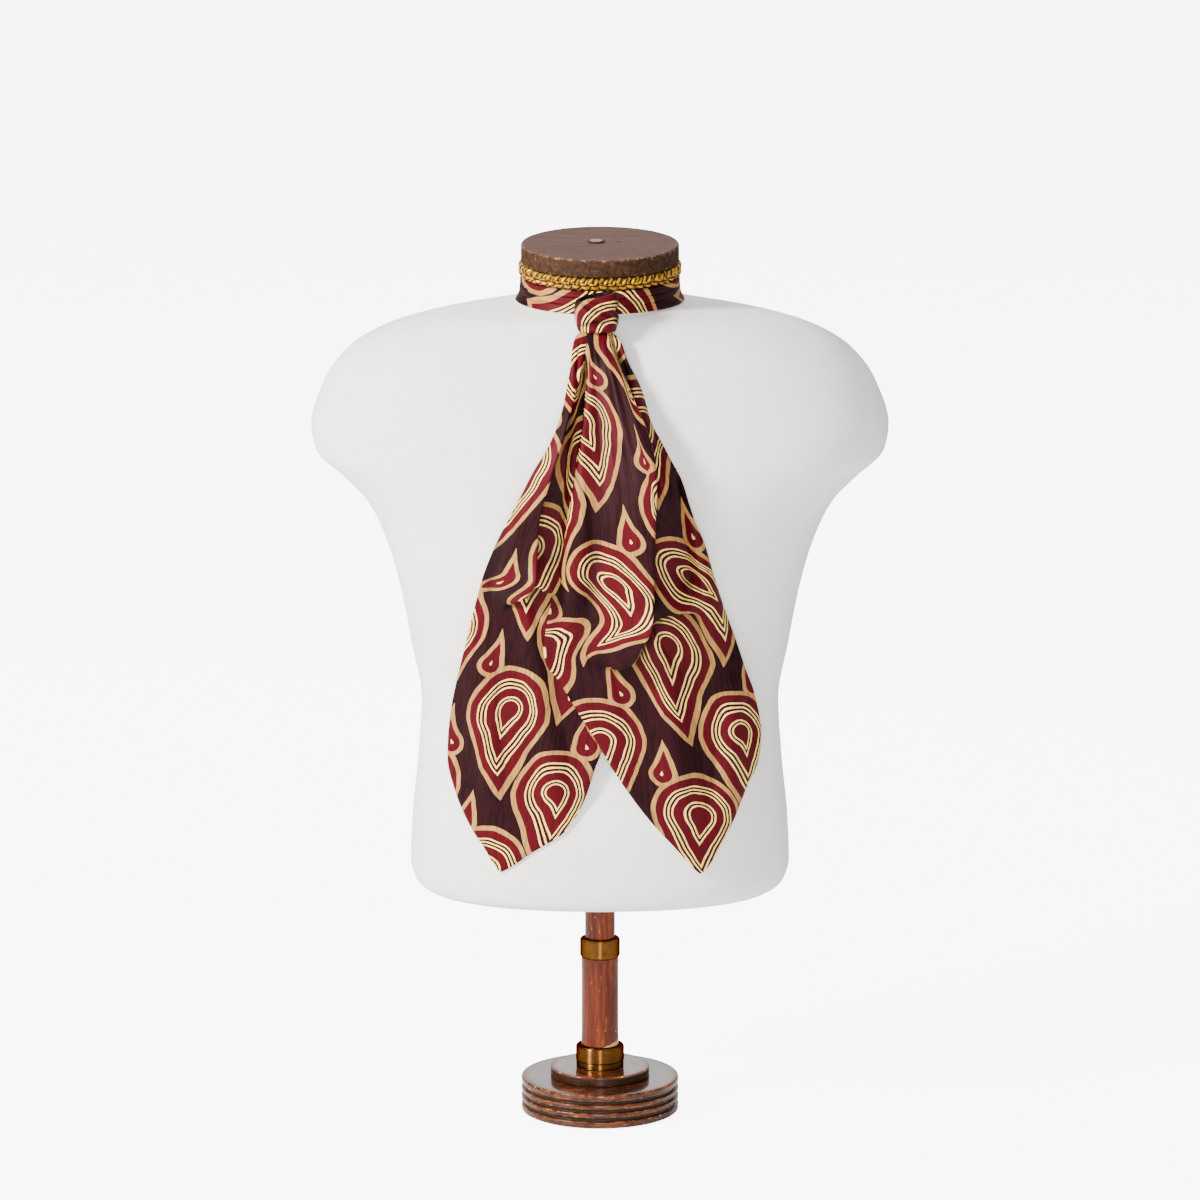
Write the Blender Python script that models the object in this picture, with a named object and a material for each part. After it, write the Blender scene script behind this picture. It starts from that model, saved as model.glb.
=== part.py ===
"""A silk cravat tied in a small knot on a limbless dress form, in metres, +Z up, the wearer's front at -Y.

The origin is the centre of the underside of the form's round base. Every depth of cloth is measured from the
form's own front, so the cloth follows the form when the form is changed. Lengths below are in millimetres.
"""

import math
from collections import namedtuple

import bmesh
import bpy
import numpy as np
from mathutils import Vector

MM = 0.001
SEAM = 0.35  # gap between two pieces that meet

# The form, from the neck down. front and back are depths from the axis, squareness is the exponent of the
# section's superellipse, and tilt is how far the section rises for each millimetre towards the back.
Section = namedtuple("Section", "height half_width front back squareness tilt")
FORM_SECTIONS = [
    Section(679.0, 58.0, 54.5, 54.5, 2.00, 0.060),
    Section(668.0, 58.0, 54.5, 54.5, 2.00, 0.060),
    Section(658.0, 58.5, 55.0, 55.5, 2.00, 0.050),
    Section(652.0, 60.5, 56.0, 57.0, 2.00, 0.040),
    Section(648.0, 68.0, 57.5, 59.5, 2.00, 0.030),
    Section(645.0, 88.0, 59.5, 62.0, 2.05, 0.020),
    Section(640.0, 124.0, 62.5, 66.0, 2.10, 0.010),
    Section(629.0, 165.0, 68.5, 74.0, 2.15, 0.000),
    Section(611.0, 195.0, 79.0, 84.0, 2.20, 0.000),
    Section(585.0, 214.0, 92.0, 94.0, 2.25, 0.000),
    Section(552.0, 224.0, 104.0, 101.0, 2.30, 0.000),
    Section(534.0, 221.0, 108.5, 102.5, 2.30, 0.000),
    Section(514.0, 200.5, 111.5, 102.5, 2.30, 0.000),
    Section(494.0, 181.5, 113.0, 101.0, 2.30, 0.000),
    Section(460.0, 165.5, 112.5, 97.0, 2.30, 0.000),
    Section(422.0, 155.0, 107.5, 92.0, 2.30, 0.000),
    Section(379.0, 147.0, 101.5, 87.0, 2.30, 0.000),
    Section(335.0, 139.5, 98.0, 85.0, 2.30, 0.000),
    Section(291.0, 142.0, 101.5, 88.0, 2.30, 0.000),
    Section(240.0, 147.0, 107.5, 95.0, 2.30, 0.000),
    Section(205.0, 148.5, 107.5, 97.0, 2.30, 0.000),
    Section(192.0, 145.0, 104.0, 94.0, 2.30, 0.000),
    Section(185.0, 137.0, 96.5, 86.5, 2.30, 0.000),
    Section(183.0, 126.0, 86.0, 76.0, 2.30, 0.000),
]
FORM_SIDES = 48
FORM_ROWS_BETWEEN = {658.0: 1, 652.0: 2, 648.0: 1, 645.0: 1, 640.0: 1, 629.0: 1, 611.0: 1, 585.0: 1, 552.0: 1}
FORM_ROWS_BETWEEN.update({494.0: 1, 460.0: 1, 422.0: 1, 379.0: 1, 335.0: 1, 291.0: 1})

# The wooden cap on the neck, the plug in its top, and the gilt braid below it.
CAP_HEIGHT = 14.0
CAP_HALF_WIDTH = 61.2
CAP_HALF_DEPTH = 57.6
CAP_EDGE = 2.6
PLUG_RADIUS = 6.6
PLUG_RISE = 1.2
PLUG_BACK = 4.0
PLUG_LEFT = 3.0
RING_SIDES = 48
BRAID_TALL = 9.4
BRAID_PROUD = 3.9
BRAID_BELOW_CAP = 0.6

# The turned stand: the plain post, two ferrules, the column, the step and the grooved base.
POST_RADIUS = 11.8
UPPER_FERRULE_RADIUS = 15.8
COLUMN_RADIUS = 14.8
LOWER_FERRULE_RADIUS = 19.1
STEP_RADIUS = 39.0
BASE_RADIUS = 62.0
BASE_HEIGHT = 27.0
STEP_HEIGHT = 7.8
LOWER_FERRULE_HEIGHT = 17.2
COLUMN_HEIGHT = 72.0
UPPER_FERRULE_HEIGHT = 15.0
GROOVE_COUNT = 3
GROOVE_DEEP = 2.2
GROOVE_TALL = 1.8
TURNED_SIDES = 32

# The cloth: two layers of silk twill turned and pressed, so each blade is one wall with a rolled edge.
CLOTH = 1.8
ROLL = 0.75  # how far the rolled edge stands out past the wall's two faces
CLOTH_CLEAR = 1.0  # from the form to the cloth
LAP_GAP = 0.9  # from the under blade to the front blade

# The neck band, folded to a narrow strip, drawn round the neck below the braid.
BAND_TALL = 19.0
BAND_THICK = 3.0
BAND_CLEAR = 0.9
BAND_MIDDLE = 659.5
BAND_SIDES = 48

# The knot: one flat turn of cloth round the gathered core.
KNOT_CENTRE = -2.3
KNOT_HALF_WIDTH = 17.3
KNOT_BACK = 61.6  # clear of the band's outside
KNOT_FRONT = 86.5
KNOT_BOTTOM = 638.0
KNOT_TOP_LEFT = 662.0
KNOT_TOP_RIGHT = 669.0
KNOT_WALL = 2.4
CORE_GAP = 0.6  # from the turn's inside to the core
KNOT_SQUARENESS = 2.9
KNOT_SIDES = 36
KNOT_BULGE = 1.1  # how far its middle swells past its ends
KNOT_CREASE = 647.0  # the height of the crease across its front
CREASE_DEEP = 1.3
CREASE_HALF = 2.4
BLADES_START = 639.9  # both blades begin this high, inside the turn of the knot

# The outline of each blade as it hangs, from the knot down to its point, with the line of its main fold.
Edge = namedtuple("Edge", "height left ridge right")
FRONT_OUTLINE = [
    Edge(BLADES_START, -8.6, 2.4, 7.4),
    Edge(637.0, -9.2, 3.2, 9.0),
    Edge(634.0, -10.9, 4.6, 12.6),
    Edge(619.0, -10.9, 8.6, 20.3),
    Edge(597.0, -11.7, 17.0, 31.2),
    Edge(571.0, -13.3, 28.0, 39.6),
    Edge(552.0, -16.4, 30.2, 49.1),
    Edge(529.0, -20.3, 31.2, 60.8),
    Edge(501.0, -25.0, 32.0, 70.2),
    Edge(481.0, -28.0, 31.8, 79.6),
    Edge(445.0, -34.7, 30.6, 89.7),
    Edge(397.0, -42.1, 24.0, 105.3),
    Edge(385.0, -39.8, 24.4, 109.2),
    Edge(373.0, -31.2, 26.4, 113.1),
    Edge(357.0, -21.8, 30.5, 118.6),
    Edge(321.0, 0.0, 42.0, 124.8),
    Edge(303.0, 10.1, 48.5, 122.5),
    Edge(281.0, 24.2, 56.5, 113.1),
    Edge(261.0, 39.0, 63.5, 105.0),
    Edge(237.0, 60.0, 71.5, 92.8),
    Edge(221.0, 73.5, 76.6, 83.0),
    Edge(216.5, 78.0, 78.0, 78.0),
]
FRONT_CORNERS = (393.0, 318.0)  # heights where the left and right edges turn to the point
UNDER_OUTLINE = [
    Edge(BLADES_START, -11.8, -5.5, 6.8),
    Edge(637.0, -14.0, -7.4, 7.6),
    Edge(633.0, -18.4, -9.8, 8.2),
    Edge(610.5, -23.4, -16.8, 8.0),
    Edge(574.0, -40.6, -34.0, 6.0),
    Edge(532.0, -62.4, -46.6, 4.0),
    Edge(492.0, -78.0, -50.0, 3.0),
    Edge(436.0, -93.6, -50.6, 2.4),
    Edge(372.0, -109.2, -50.4, 1.8),
    Edge(340.0, -115.4, -52.0, 1.2),
    Edge(318.0, -117.4, -54.6, 0.6),
    Edge(304.0, -117.8, -57.0, -4.0),
    Edge(276.0, -110.8, -62.8, -13.3),
    Edge(253.0, -100.6, -68.6, -27.3),
    Edge(234.0, -88.0, -73.4, -54.6),
    Edge(223.0, -81.6, -76.2, -69.0),
    Edge(218.0, -77.3, -77.3, -77.3),
]
UNDER_CORNERS = (304.0, 319.0)

# The main fold of each blade runs down its ridge line. rise is its height off the blade, the reaches are how
# far its flanks run, lean is how far its crest hangs over to the right, and the fades are shares of its
# length.
Ridge = namedtuple("Ridge", "top low rise left_reach right_reach lean fade_top fade_low")
FRONT_RIDGE = Ridge(646, 372, 20.0, 62.0, 12.0, 5.5, 0.17, 0.28)
UNDER_RIDGE = Ridge(642, 428, 14.0, 28.0, 10.5, 4.5, 0.32, 0.16)

# The smaller folds, each along a line bowed through three x values.
Fold = namedtuple("Fold", "top low top_x mid_x low_x rise left_reach right_reach fade_top fade_low")
FRONT_FOLDS = [
    Fold(660, 372, -7.0, -17.0, -36.0, 3.6, 12.0, 16.0, 0.15, 0.25),
    Fold(580, 330, 56.0, 80.0, 95.0, 5.5, 15.0, 17.0, 0.30, 0.40),
    Fold(642, 500, 13.0, 34.0, 54.0, 3.0, 6.0, 9.0, 0.20, 0.35),
    Fold(430, 240, 44.0, 56.0, 72.0, 6.5, 28.0, 22.0, 0.35, 0.30),
    Fold(410, 235, 100.0, 104.0, 93.0, 4.5, 18.0, 16.0, 0.35, 0.35),
]
UNDER_FOLDS = [
    Fold(640, 400, -11.0, -27.0, -38.0, 5.0, 9.0, 18.0, 0.35, 0.35),
    Fold(462, 330, -66.0, -52.0, -42.0, 6.5, 18.0, 15.0, 0.30, 0.35),
    Fold(440, 245, -94.0, -92.0, -80.0, 5.5, 22.0, 22.0, 0.35, 0.30),
    Fold(390, 245, -56.0, -40.0, -40.0, 5.0, 18.0, 20.0, 0.35, 0.35),
]

# How finely each blade is divided: from the left edge to the ridge, down the steep flank, on to the right
# edge, and down the cloth.
Grid = namedtuple("Grid", "left flank right rows")
FRONT_GRID = Grid(13, 5, 12, 31)
UNDER_GRID = Grid(9, 5, 10, 26)
LIFT = CLOTH_CLEAR + CLOTH / 2  # from the form to the middle of a wall that lies on it
HANG_HEIGHT = 462.0  # below this the cloth hangs straight from the chest
HANG_SLOPE = 0.03
SETTLE_RUN = 34.0  # past the under blade's edge the front blade settles on the form over this width
KNOT_LIFT = 5.0  # both blades stand off the form at the knot
KNOT_STACK = 2.6  # and the front blade stands this much more


def smooth_through(heights, values):
    """A curve through the values with no overshoot, as a function of height."""
    order = np.argsort(heights)
    h = np.array(heights, float)[order]
    v = np.array(values, float)[order]
    step = np.diff(h)
    slope = np.diff(v) / step
    tangent = np.zeros(len(h))
    for i in range(1, len(h) - 1):
        if slope[i - 1] * slope[i] > 0:
            a = 2 * step[i] + step[i - 1]
            b = step[i] + 2 * step[i - 1]
            tangent[i] = (a + b) / (a / slope[i - 1] + b / slope[i])
    tangent[0] = slope[0]
    tangent[-1] = slope[-1]

    def at(height):
        z = np.clip(height, h[0], h[-1])
        i = np.clip(np.searchsorted(h, z) - 1, 0, len(step) - 1)
        t = (z - h[i]) / step[i]
        start = v[i] * (1 + 2 * t) * (1 - t) ** 2 + tangent[i] * step[i] * t * (1 - t) ** 2
        end = v[i + 1] * t * t * (3 - 2 * t) + tangent[i + 1] * step[i] * t * t * (t - 1)
        return start + end

    return at


def column(rows, name):
    return [getattr(row, name) for row in rows]


def curves_of(rows):
    """A smooth curve for each column of a table that is given by height."""
    heights = column(rows, "height")
    return {name: smooth_through(heights, column(rows, name)) for name in rows[0]._fields[1:]}


FORM = curves_of(FORM_SECTIONS)
FRONT_EDGES = curves_of(FRONT_OUTLINE)
UNDER_EDGES = curves_of(UNDER_OUTLINE)


def eased(t):
    t = np.clip(t, 0.0, 1.0)
    return t * t * (3 - 2 * t)


def finish(name, colour, roughness, metallic=0.0):
    material = bpy.data.materials.new(name)
    material.use_nodes = True
    shader = material.node_tree.nodes["Principled BSDF"]
    shader.inputs["Base Color"].default_value = (*colour, 1.0)
    shader.inputs["Roughness"].default_value = roughness
    shader.inputs["Metallic"].default_value = metallic
    return material


def solid(name, points, faces, material):
    """One closed body from points in millimetres."""
    mesh = bpy.data.meshes.new(name)
    mesh.from_pydata([tuple(c * MM for c in p) for p in points], [], faces)
    shape = bmesh.new()
    shape.from_mesh(mesh)
    bmesh.ops.recalc_face_normals(shape, faces=shape.faces)
    shape.to_mesh(mesh)
    shape.free()
    mesh.materials.append(material)
    mesh.shade_smooth()
    mesh.set_sharp_from_angle(angle=math.radians(40))
    obj = bpy.data.objects.new(name, mesh)
    bpy.context.scene.collection.objects.link(obj)
    return obj


def stacked(name, rings, material):
    """A body skinned over closed rings of equal count, with both ends capped flat."""
    count = len(rings[0])
    points = [p for ring in rings for p in ring]
    faces = []
    for i in range(len(rings) - 1):
        for j in range(count):
            k = (j + 1) % count
            low = i * count
            high = low + count
            faces.append((low + j, low + k, high + k, high + j))
    faces.append(tuple(range(count)))
    faces.append(tuple(range((len(rings) - 1) * count, len(rings) * count)))
    return solid(name, points, faces, material)


def swept(name, sections, material):
    """A closed ring made of closed sections, each joined to the next and the last to the first."""
    count = len(sections[0])
    points = [p for section in sections for p in section]
    faces = []
    for i in range(len(sections)):
        here = i * count
        there = (i + 1) % len(sections) * count
        for j in range(count):
            k = (j + 1) % count
            faces.append((here + j, here + k, there + k, there + j))
    return solid(name, points, faces, material)


def turned(name, profile, material):
    """A piece turned about the Z axis from (radius, height) points."""
    rings = []
    for radius, height in profile:
        angles = [2 * math.pi * k / TURNED_SIDES for k in range(TURNED_SIDES)]
        rings.append([(radius * math.cos(a), radius * math.sin(a), height) for a in angles])
    return stacked(name, rings, material)


def form_point(height, angle, out=0.0):
    """A point on the form's surface, moved out level by the given distance."""
    power = 2.0 / float(FORM["squareness"](height))
    c = math.cos(angle)
    s = math.sin(angle)
    depth = FORM["front"](height) if s < 0 else FORM["back"](height)
    x = float(FORM["half_width"](height)) * math.copysign(abs(c) ** power, c)
    y = float(depth) * math.copysign(abs(s) ** power, s)
    away = Vector((c / FORM["half_width"](height), s / depth)).normalized()
    x += out * away.x
    y += out * away.y
    return (x, y, height + float(FORM["tilt"](height)) * y)


def form_front(x, height):
    """How far forward of the axis the form's surface is at this x and height."""
    power = FORM["squareness"](height)
    share = np.clip(np.abs(x) / FORM["half_width"](height), 0.0, 0.995)
    return FORM["front"](height) * (1 - share**power) ** (1 / power)


def make_form(material):
    heights = []
    for upper, lower in zip(FORM_SECTIONS, FORM_SECTIONS[1:]):
        between = FORM_ROWS_BETWEEN.get(upper.height, 0)
        for k in range(between + 1):
            heights.append(upper.height + (lower.height - upper.height) * k / (between + 1))
    heights.append(FORM_SECTIONS[-1].height)
    angles = [2 * math.pi * (k + 0.5) / FORM_SIDES for k in range(FORM_SIDES)]
    return stacked("torso", [[form_point(h, a) for a in angles] for h in heights], material)


def oval(half_width, half_depth, height):
    """A level oval on the tilted neck."""
    tilt = FORM_SECTIONS[0].tilt
    ring = []
    for k in range(RING_SIDES):
        angle = 2 * math.pi * k / RING_SIDES
        y = half_depth * math.sin(angle)
        ring.append((half_width * math.cos(angle), y, height + tilt * y))
    return ring


def make_cap(material, plug_material):
    under = FORM_SECTIONS[0].height + SEAM
    top = under + CAP_HEIGHT
    profile = [(0.0, under), (0.0, top - CAP_EDGE)]
    for k in (1, 2, 3):
        angle = math.radians(30 * k)
        profile.append((CAP_EDGE * (1 - math.cos(angle)), top - CAP_EDGE * (1 - math.sin(angle))))
    rings = [oval(CAP_HALF_WIDTH - inset, CAP_HALF_DEPTH - inset, height) for inset, height in profile]
    stacked("neck_cap", rings, material)
    tilt = FORM_SECTIONS[0].tilt
    plug = []
    for radius, rise in ((PLUG_RADIUS, SEAM), (PLUG_RADIUS, PLUG_RISE - 0.4), (PLUG_RADIUS - 0.5, PLUG_RISE)):
        ring = []
        for k in range(TURNED_SIDES):
            angle = 2 * math.pi * k / TURNED_SIDES
            y = PLUG_BACK + radius * math.sin(angle)
            ring.append((radius * math.cos(angle) - PLUG_LEFT, y, top + rise + tilt * y))
        plug.append(ring)
    stacked("cap_plug", plug, plug_material)


def make_braid(material):
    """The gilt braid is a half-round cord laid round the neck, just under the cap."""
    middle = FORM_SECTIONS[0].height - BRAID_BELOW_CAP - BRAID_TALL / 2
    section = [(0.0, -0.5), (0.55, -0.46), (0.92, -0.24), (1.0, 0.0), (0.92, 0.24), (0.55, 0.46), (0.0, 0.5)]
    sections = []
    for k in range(RING_SIDES):
        angle = 2 * math.pi * k / RING_SIDES
        ring = []
        for out, up in section:
            ring.append(form_point(middle + up * BRAID_TALL, angle, SEAM + out * BRAID_PROUD))
        sections.append(ring)
    swept("neck_braid", sections, material)


def make_stand(wood, dark_wood, brass):
    level = 0.0
    step = BASE_HEIGHT / (GROOVE_COUNT + 1)
    profile = [(BASE_RADIUS - 1.2, level), (BASE_RADIUS, 1.2)]
    for k in range(1, GROOVE_COUNT + 1):
        for radius, offset in ((BASE_RADIUS, -1.0), (BASE_RADIUS - GROOVE_DEEP, -0.5)):
            profile.append((radius, k * step + offset * GROOVE_TALL))
        for radius, offset in ((BASE_RADIUS - GROOVE_DEEP, 0.5), (BASE_RADIUS, 1.0)):
            profile.append((radius, k * step + offset * GROOVE_TALL))
    profile += [(BASE_RADIUS, BASE_HEIGHT - 1.4), (BASE_RADIUS - 1.4, BASE_HEIGHT)]
    turned("base_disc", profile, dark_wood)
    level = BASE_HEIGHT + SEAM
    top = BASE_HEIGHT + STEP_HEIGHT
    edge = 2.4
    profile = [(STEP_RADIUS, level), (STEP_RADIUS, top - edge), (STEP_RADIUS - 0.7, top - 0.7)]
    turned("base_step", profile + [(STEP_RADIUS - edge, top)], dark_wood)
    level = top + SEAM
    top += LOWER_FERRULE_HEIGHT
    lip = LOWER_FERRULE_RADIUS
    profile = [(lip - 0.4, level), (lip - 0.4, level + 4.4), (lip, level + 5.0)]
    turned("lower_ferrule", profile + [(lip, top - 1.4), (lip - 0.9, top)], brass)
    level = top + SEAM
    top += COLUMN_HEIGHT
    turned("column", [(COLUMN_RADIUS, level), (COLUMN_RADIUS, top)], wood)
    level = top + SEAM
    top += UPPER_FERRULE_HEIGHT
    lip = UPPER_FERRULE_RADIUS
    profile = [(lip - 0.6, level), (lip, level + 0.8), (lip, top - 1.0), (lip - 0.9, top)]
    turned("upper_ferrule", profile, brass)
    form_underside = FORM_SECTIONS[-1].height - SEAM
    turned("upper_post", [(POST_RADIUS, top + SEAM), (POST_RADIUS, form_underside)], dark_wood)


def make_band(material):
    """A folded strip round the neck: three rounded pleats outside over a plain inside."""
    tall = BAND_TALL / 2
    outside = [(-1.0, 0.55), (-0.86, 1.0), (-0.36, 1.0), (-0.28, 0.7), (-0.18, 1.0), (0.30, 1.0), (0.38, 0.7)]
    outside += [(0.48, 1.0), (0.88, 1.0), (1.0, 0.55)]
    inside = [(0.97, 0.0), (0.35, 0.0), (-0.35, 0.0), (-0.97, 0.0)]
    sections = []
    for k in range(BAND_SIDES):
        angle = 2 * math.pi * k / BAND_SIDES
        ring = []
        for up, out in outside + inside:
            ring.append(form_point(BAND_MIDDLE + up * tall, angle, BAND_CLEAR + out * BAND_THICK))
        sections.append(ring)
    swept("neck_band", sections, material)


def knot_point(angle, height, inset):
    """A point of the knot's outside, moved in by inset: a squarish oval that bulges between its ends."""
    middle = (KNOT_BOTTOM + KNOT_TOP_RIGHT) / 2
    share = (height - middle) / (KNOT_TOP_RIGHT - middle)
    bulge = KNOT_BULGE * (1 - share * share)
    fall = ((height - KNOT_CREASE) / CREASE_HALF) ** 2
    crease = CREASE_DEEP * math.exp(-fall) * max(0.0, -math.sin(angle))
    back_depth = max(KNOT_BACK, float(form_front(0.0, height)) + CLOTH_CLEAR)
    half_depth = (KNOT_FRONT - back_depth) / 2
    power = 2.0 / KNOT_SQUARENESS
    c = math.cos(angle)
    s = math.sin(angle)
    wide = KNOT_HALF_WIDTH - KNOT_BULGE + bulge - inset
    deep = half_depth - inset - crease
    if s < 0:
        deep += bulge - KNOT_BULGE
    x = KNOT_CENTRE + wide * math.copysign(abs(c) ** power, c)
    y = -(KNOT_FRONT + back_depth) / 2 + deep * math.copysign(abs(s) ** power, s)
    return (x, y, height)


def knot_top(angle):
    """The turn's upper edge climbs from left to right."""
    return (KNOT_TOP_LEFT + KNOT_TOP_RIGHT) / 2 + (KNOT_TOP_RIGHT - KNOT_TOP_LEFT) / 2 * math.cos(angle)


def make_knot(material):
    """A turn with soft edges, and the core within it, from rows of (share of the height, inset)."""
    outside = [(0.0, 0.9)] + [(rise, 0.0) for rise in (0.06, 0.22, 0.31, 0.40, 0.62, 0.86)]
    outside += [(0.96, 0.3), (1.0, 1.1)]
    section = outside + [(rise, KNOT_WALL) for rise in (0.985, 0.7, 0.5, 0.31, 0.2, 0.015)]
    core = [(0.135, 0.5)] + [(rise, 0.0) for rise in (0.2, 0.31, 0.5, 0.7, 0.86)] + [(0.93, 1.6), (0.95, 6.0)]
    sections = []
    for k in range(KNOT_SIDES):
        angle = 2 * math.pi * (k + 0.5) / KNOT_SIDES
        tall = knot_top(angle) - KNOT_BOTTOM
        sections.append([knot_point(angle, KNOT_BOTTOM + rise * tall, inset) for rise, inset in section])
    swept("knot_wrap", sections, material)
    rings = []
    for rise, inset in core:
        ring = []
        for k in range(KNOT_SIDES):
            angle = 2 * math.pi * (k + 0.5) / KNOT_SIDES
            height = KNOT_BOTTOM + rise * (knot_top(angle) - KNOT_BOTTOM)
            ring.append(knot_point(angle, height, KNOT_WALL + CORE_GAP + inset))
        rings.append(ring)
    stacked("knot_core", rings, material)


def rest_depth(x, height):
    """Where a single cloth would touch: the form's front, or the straight hang from the chest."""
    touch = form_front(x, height)
    chest = form_front(x, HANG_HEIGHT) - HANG_SLOPE * (HANG_HEIGHT - height)
    free = np.where(height < HANG_HEIGHT, chest, touch - 20.0)
    soft = 2.0
    return np.maximum(touch, free) + soft * np.log1p(np.exp(-np.abs(touch - free) / soft))


def flank(x, middle, left_reach, right_reach):
    """A fold's profile across: 1 on its line, easing to 0 at the end of each flank."""
    reach = np.where(x < middle, left_reach, right_reach)
    return 0.5 + 0.5 * np.cos(np.pi * np.clip(np.abs(x - middle) / reach, 0.0, 1.0))


def strength_along(fold, along):
    gathered = 0.45 + 0.55 * eased(along * 2.2)
    return gathered * eased(along / fold.fade_top) * eased((1 - along) / fold.fade_low)


def spread_along(along):
    """Folds are narrow where the knot gathers them and open out below."""
    return 0.5 + 0.5 * eased(along * 1.6)


def ridge_reach(ridge, height):
    along = np.clip((ridge.top - height) / (ridge.top - ridge.low), 0.0, 1.0)
    return ridge.right_reach * spread_along(along)


def ridge_at(ridge, edges, x, height):
    """(rise, sideways lean) of a blade's main fold."""
    along = np.clip((ridge.top - height) / (ridge.top - ridge.low), 0.0, 1.0)
    spread = spread_along(along)
    across = flank(x, edges["ridge"](height), ridge.left_reach * spread, ridge.right_reach * spread)
    strength = strength_along(ridge, along)
    return ridge.rise * across * strength, ridge.lean * across * strength**2


def small_folds(folds, x, height):
    rise = 0.0
    for fold in folds:
        along = np.clip((fold.top - height) / (fold.top - fold.low), 0.0, 1.0)
        bow = fold.top_x * (1 - along) * (1 - 2 * along) + fold.mid_x * 4 * along * (1 - along)
        middle = bow + fold.low_x * along * (2 * along - 1)
        spread = spread_along(along)
        across = flank(x, middle, fold.left_reach * spread, fold.right_reach * spread)
        rise = rise + fold.rise * across * strength_along(fold, along)
    return rise


def under_rise(x, height):
    """(rise, lean) of the under blade above the form, without its thickness."""
    rise, lean = ridge_at(UNDER_RIDGE, UNDER_EDGES, x, height)
    lift = KNOT_LIFT * eased((height - 595.0) / 35.0)
    return rise + lift + LIFT + small_folds(UNDER_FOLDS, x, height), lean


def under_surface(x, height):
    rise, lean = under_rise(x, height)
    return np.array([x + lean, -(rest_depth(x, height) + rise), height])


def front_surface(x, height):
    """The front blade lies on the under blade, then settles on the form past the under blade's edge."""
    lap = under_rise(x, height)[0] + CLOTH + LAP_GAP
    settled = eased((x - UNDER_EDGES["right"](height) - 3.0) / SETTLE_RUN)
    rise, lean = ridge_at(FRONT_RIDGE, FRONT_EDGES, x, height)
    stack = KNOT_STACK * eased((height - 590.0) / 45.0)
    depth = rest_depth(x, height) + lap * (1 - settled) + LIFT * settled + stack + rise
    return np.array([x + lean, -(depth + small_folds(FRONT_FOLDS, x, height)), height])


Blade = namedtuple("Blade", "name surface edges outline corners ridge grid")
BLADES = [
    Blade("under_blade", under_surface, UNDER_EDGES, UNDER_OUTLINE, UNDER_CORNERS, UNDER_RIDGE, UNDER_GRID),
    Blade("front_blade", front_surface, FRONT_EDGES, FRONT_OUTLINE, FRONT_CORNERS, FRONT_RIDGE, FRONT_GRID),
]


def blade_place(blade, u, v):
    """The (x, height) of a point across and down the blade.

    u is 0.5 on the ridge line. The rows bend down towards the point, so the last row is the cut edge.
    """
    top = blade.outline[0].height
    tip = blade.outline[-1]
    side = "left" if u < 0.5 else "right"
    corner = blade.corners[0] if u < 0.5 else blade.corners[1]
    inward = 1 - abs(2 * u - 1)
    edge_height = top + (corner - top) * v
    ridge_height = top + (tip.height - top) * v
    height = edge_height + (ridge_height - edge_height) * inward
    edge_x = blade.edges[side](edge_height)
    x = edge_x + (blade.edges["ridge"](ridge_height) - edge_x) * inward
    hem_height = corner + (tip.height - corner) * inward
    corner_x = blade.edges[side](corner)
    straight_x = corner_x + (tip.left - corner_x) * inward
    return float(x + (blade.edges[side](hem_height) - straight_x) * v**4), float(height)


def flank_foot(blade, v):
    """The share across the blade where the right flank of the main fold ends."""
    low = 0.5
    high = 0.97
    for _ in range(30):
        u = (low + high) / 2
        x, height = blade_place(blade, u, v)
        if x < blade.edges["ridge"](height) + ridge_reach(blade.ridge, height):
            low = u
        else:
            high = u
    return u


def stations(blade, v):
    """Shares across the blade for one row: its columns follow the ridge and the foot of its steep flank."""
    grid = blade.grid
    foot = flank_foot(blade, v)
    shares = [0.5 * k / grid.left for k in range(grid.left)]
    shares += [0.5 + (foot - 0.5) * k / grid.flank for k in range(grid.flank)]
    return shares + [foot + (1 - foot) * k / grid.right for k in range(grid.right + 1)]


def blade_wall(blade, material):
    """A wall of even thickness about the blade's surface, with a rolled rim all round."""
    across = blade.grid.left + blade.grid.flank + blade.grid.right + 1
    down = blade.grid.rows
    middle = np.zeros((down, across, 3))
    normal = np.zeros((down, across, 3))
    nudge = 0.4
    for i, v in enumerate(np.linspace(0.0, 1.0, down)):
        for j, u in enumerate(stations(blade, v)):
            x, z = blade_place(blade, u, v)
            middle[i, j] = blade.surface(x, z)
            over = blade.surface(x + nudge, z) - blade.surface(x - nudge, z)
            up = blade.surface(x, z + nudge) - blade.surface(x, z - nudge)
            facing = np.cross(over, up)
            normal[i, j] = facing / np.linalg.norm(facing)
    outer = middle + normal * CLOTH / 2
    inner = middle - normal * CLOTH / 2
    points = [tuple(p) for p in outer.reshape(-1, 3)] + [tuple(p) for p in inner.reshape(-1, 3)]
    back = across * down
    faces = []
    for i in range(down - 1):
        for j in range(across - 1):
            a = i * across + j
            b = a + across
            faces.append((a, b, b + 1, a + 1))
            faces.append((back + a, back + a + 1, back + b + 1, back + b))
    border = [(0, j) for j in range(across)] + [(i, across - 1) for i in range(1, down)]
    border += [(down - 1, j) for j in range(across - 2, -1, -1)] + [(i, 0) for i in range(down - 2, 0, -1)]
    rim = len(points)
    for k, here in enumerate(border):
        outward = np.cross(normal[here], middle[border[(k + 1) % len(border)]] - middle[border[k - 1]])
        points.append(tuple(middle[here] + outward / np.linalg.norm(outward) * ROLL))
    for k, (i, j) in enumerate(border):
        m = (k + 1) % len(border)
        here = i * across + j
        there = border[m][0] * across + border[m][1]
        faces.append((here, there, rim + m, rim + k))
        faces.append((rim + k, rim + m, back + there, back + here))
    return solid(blade.name, points, faces, material)


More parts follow.
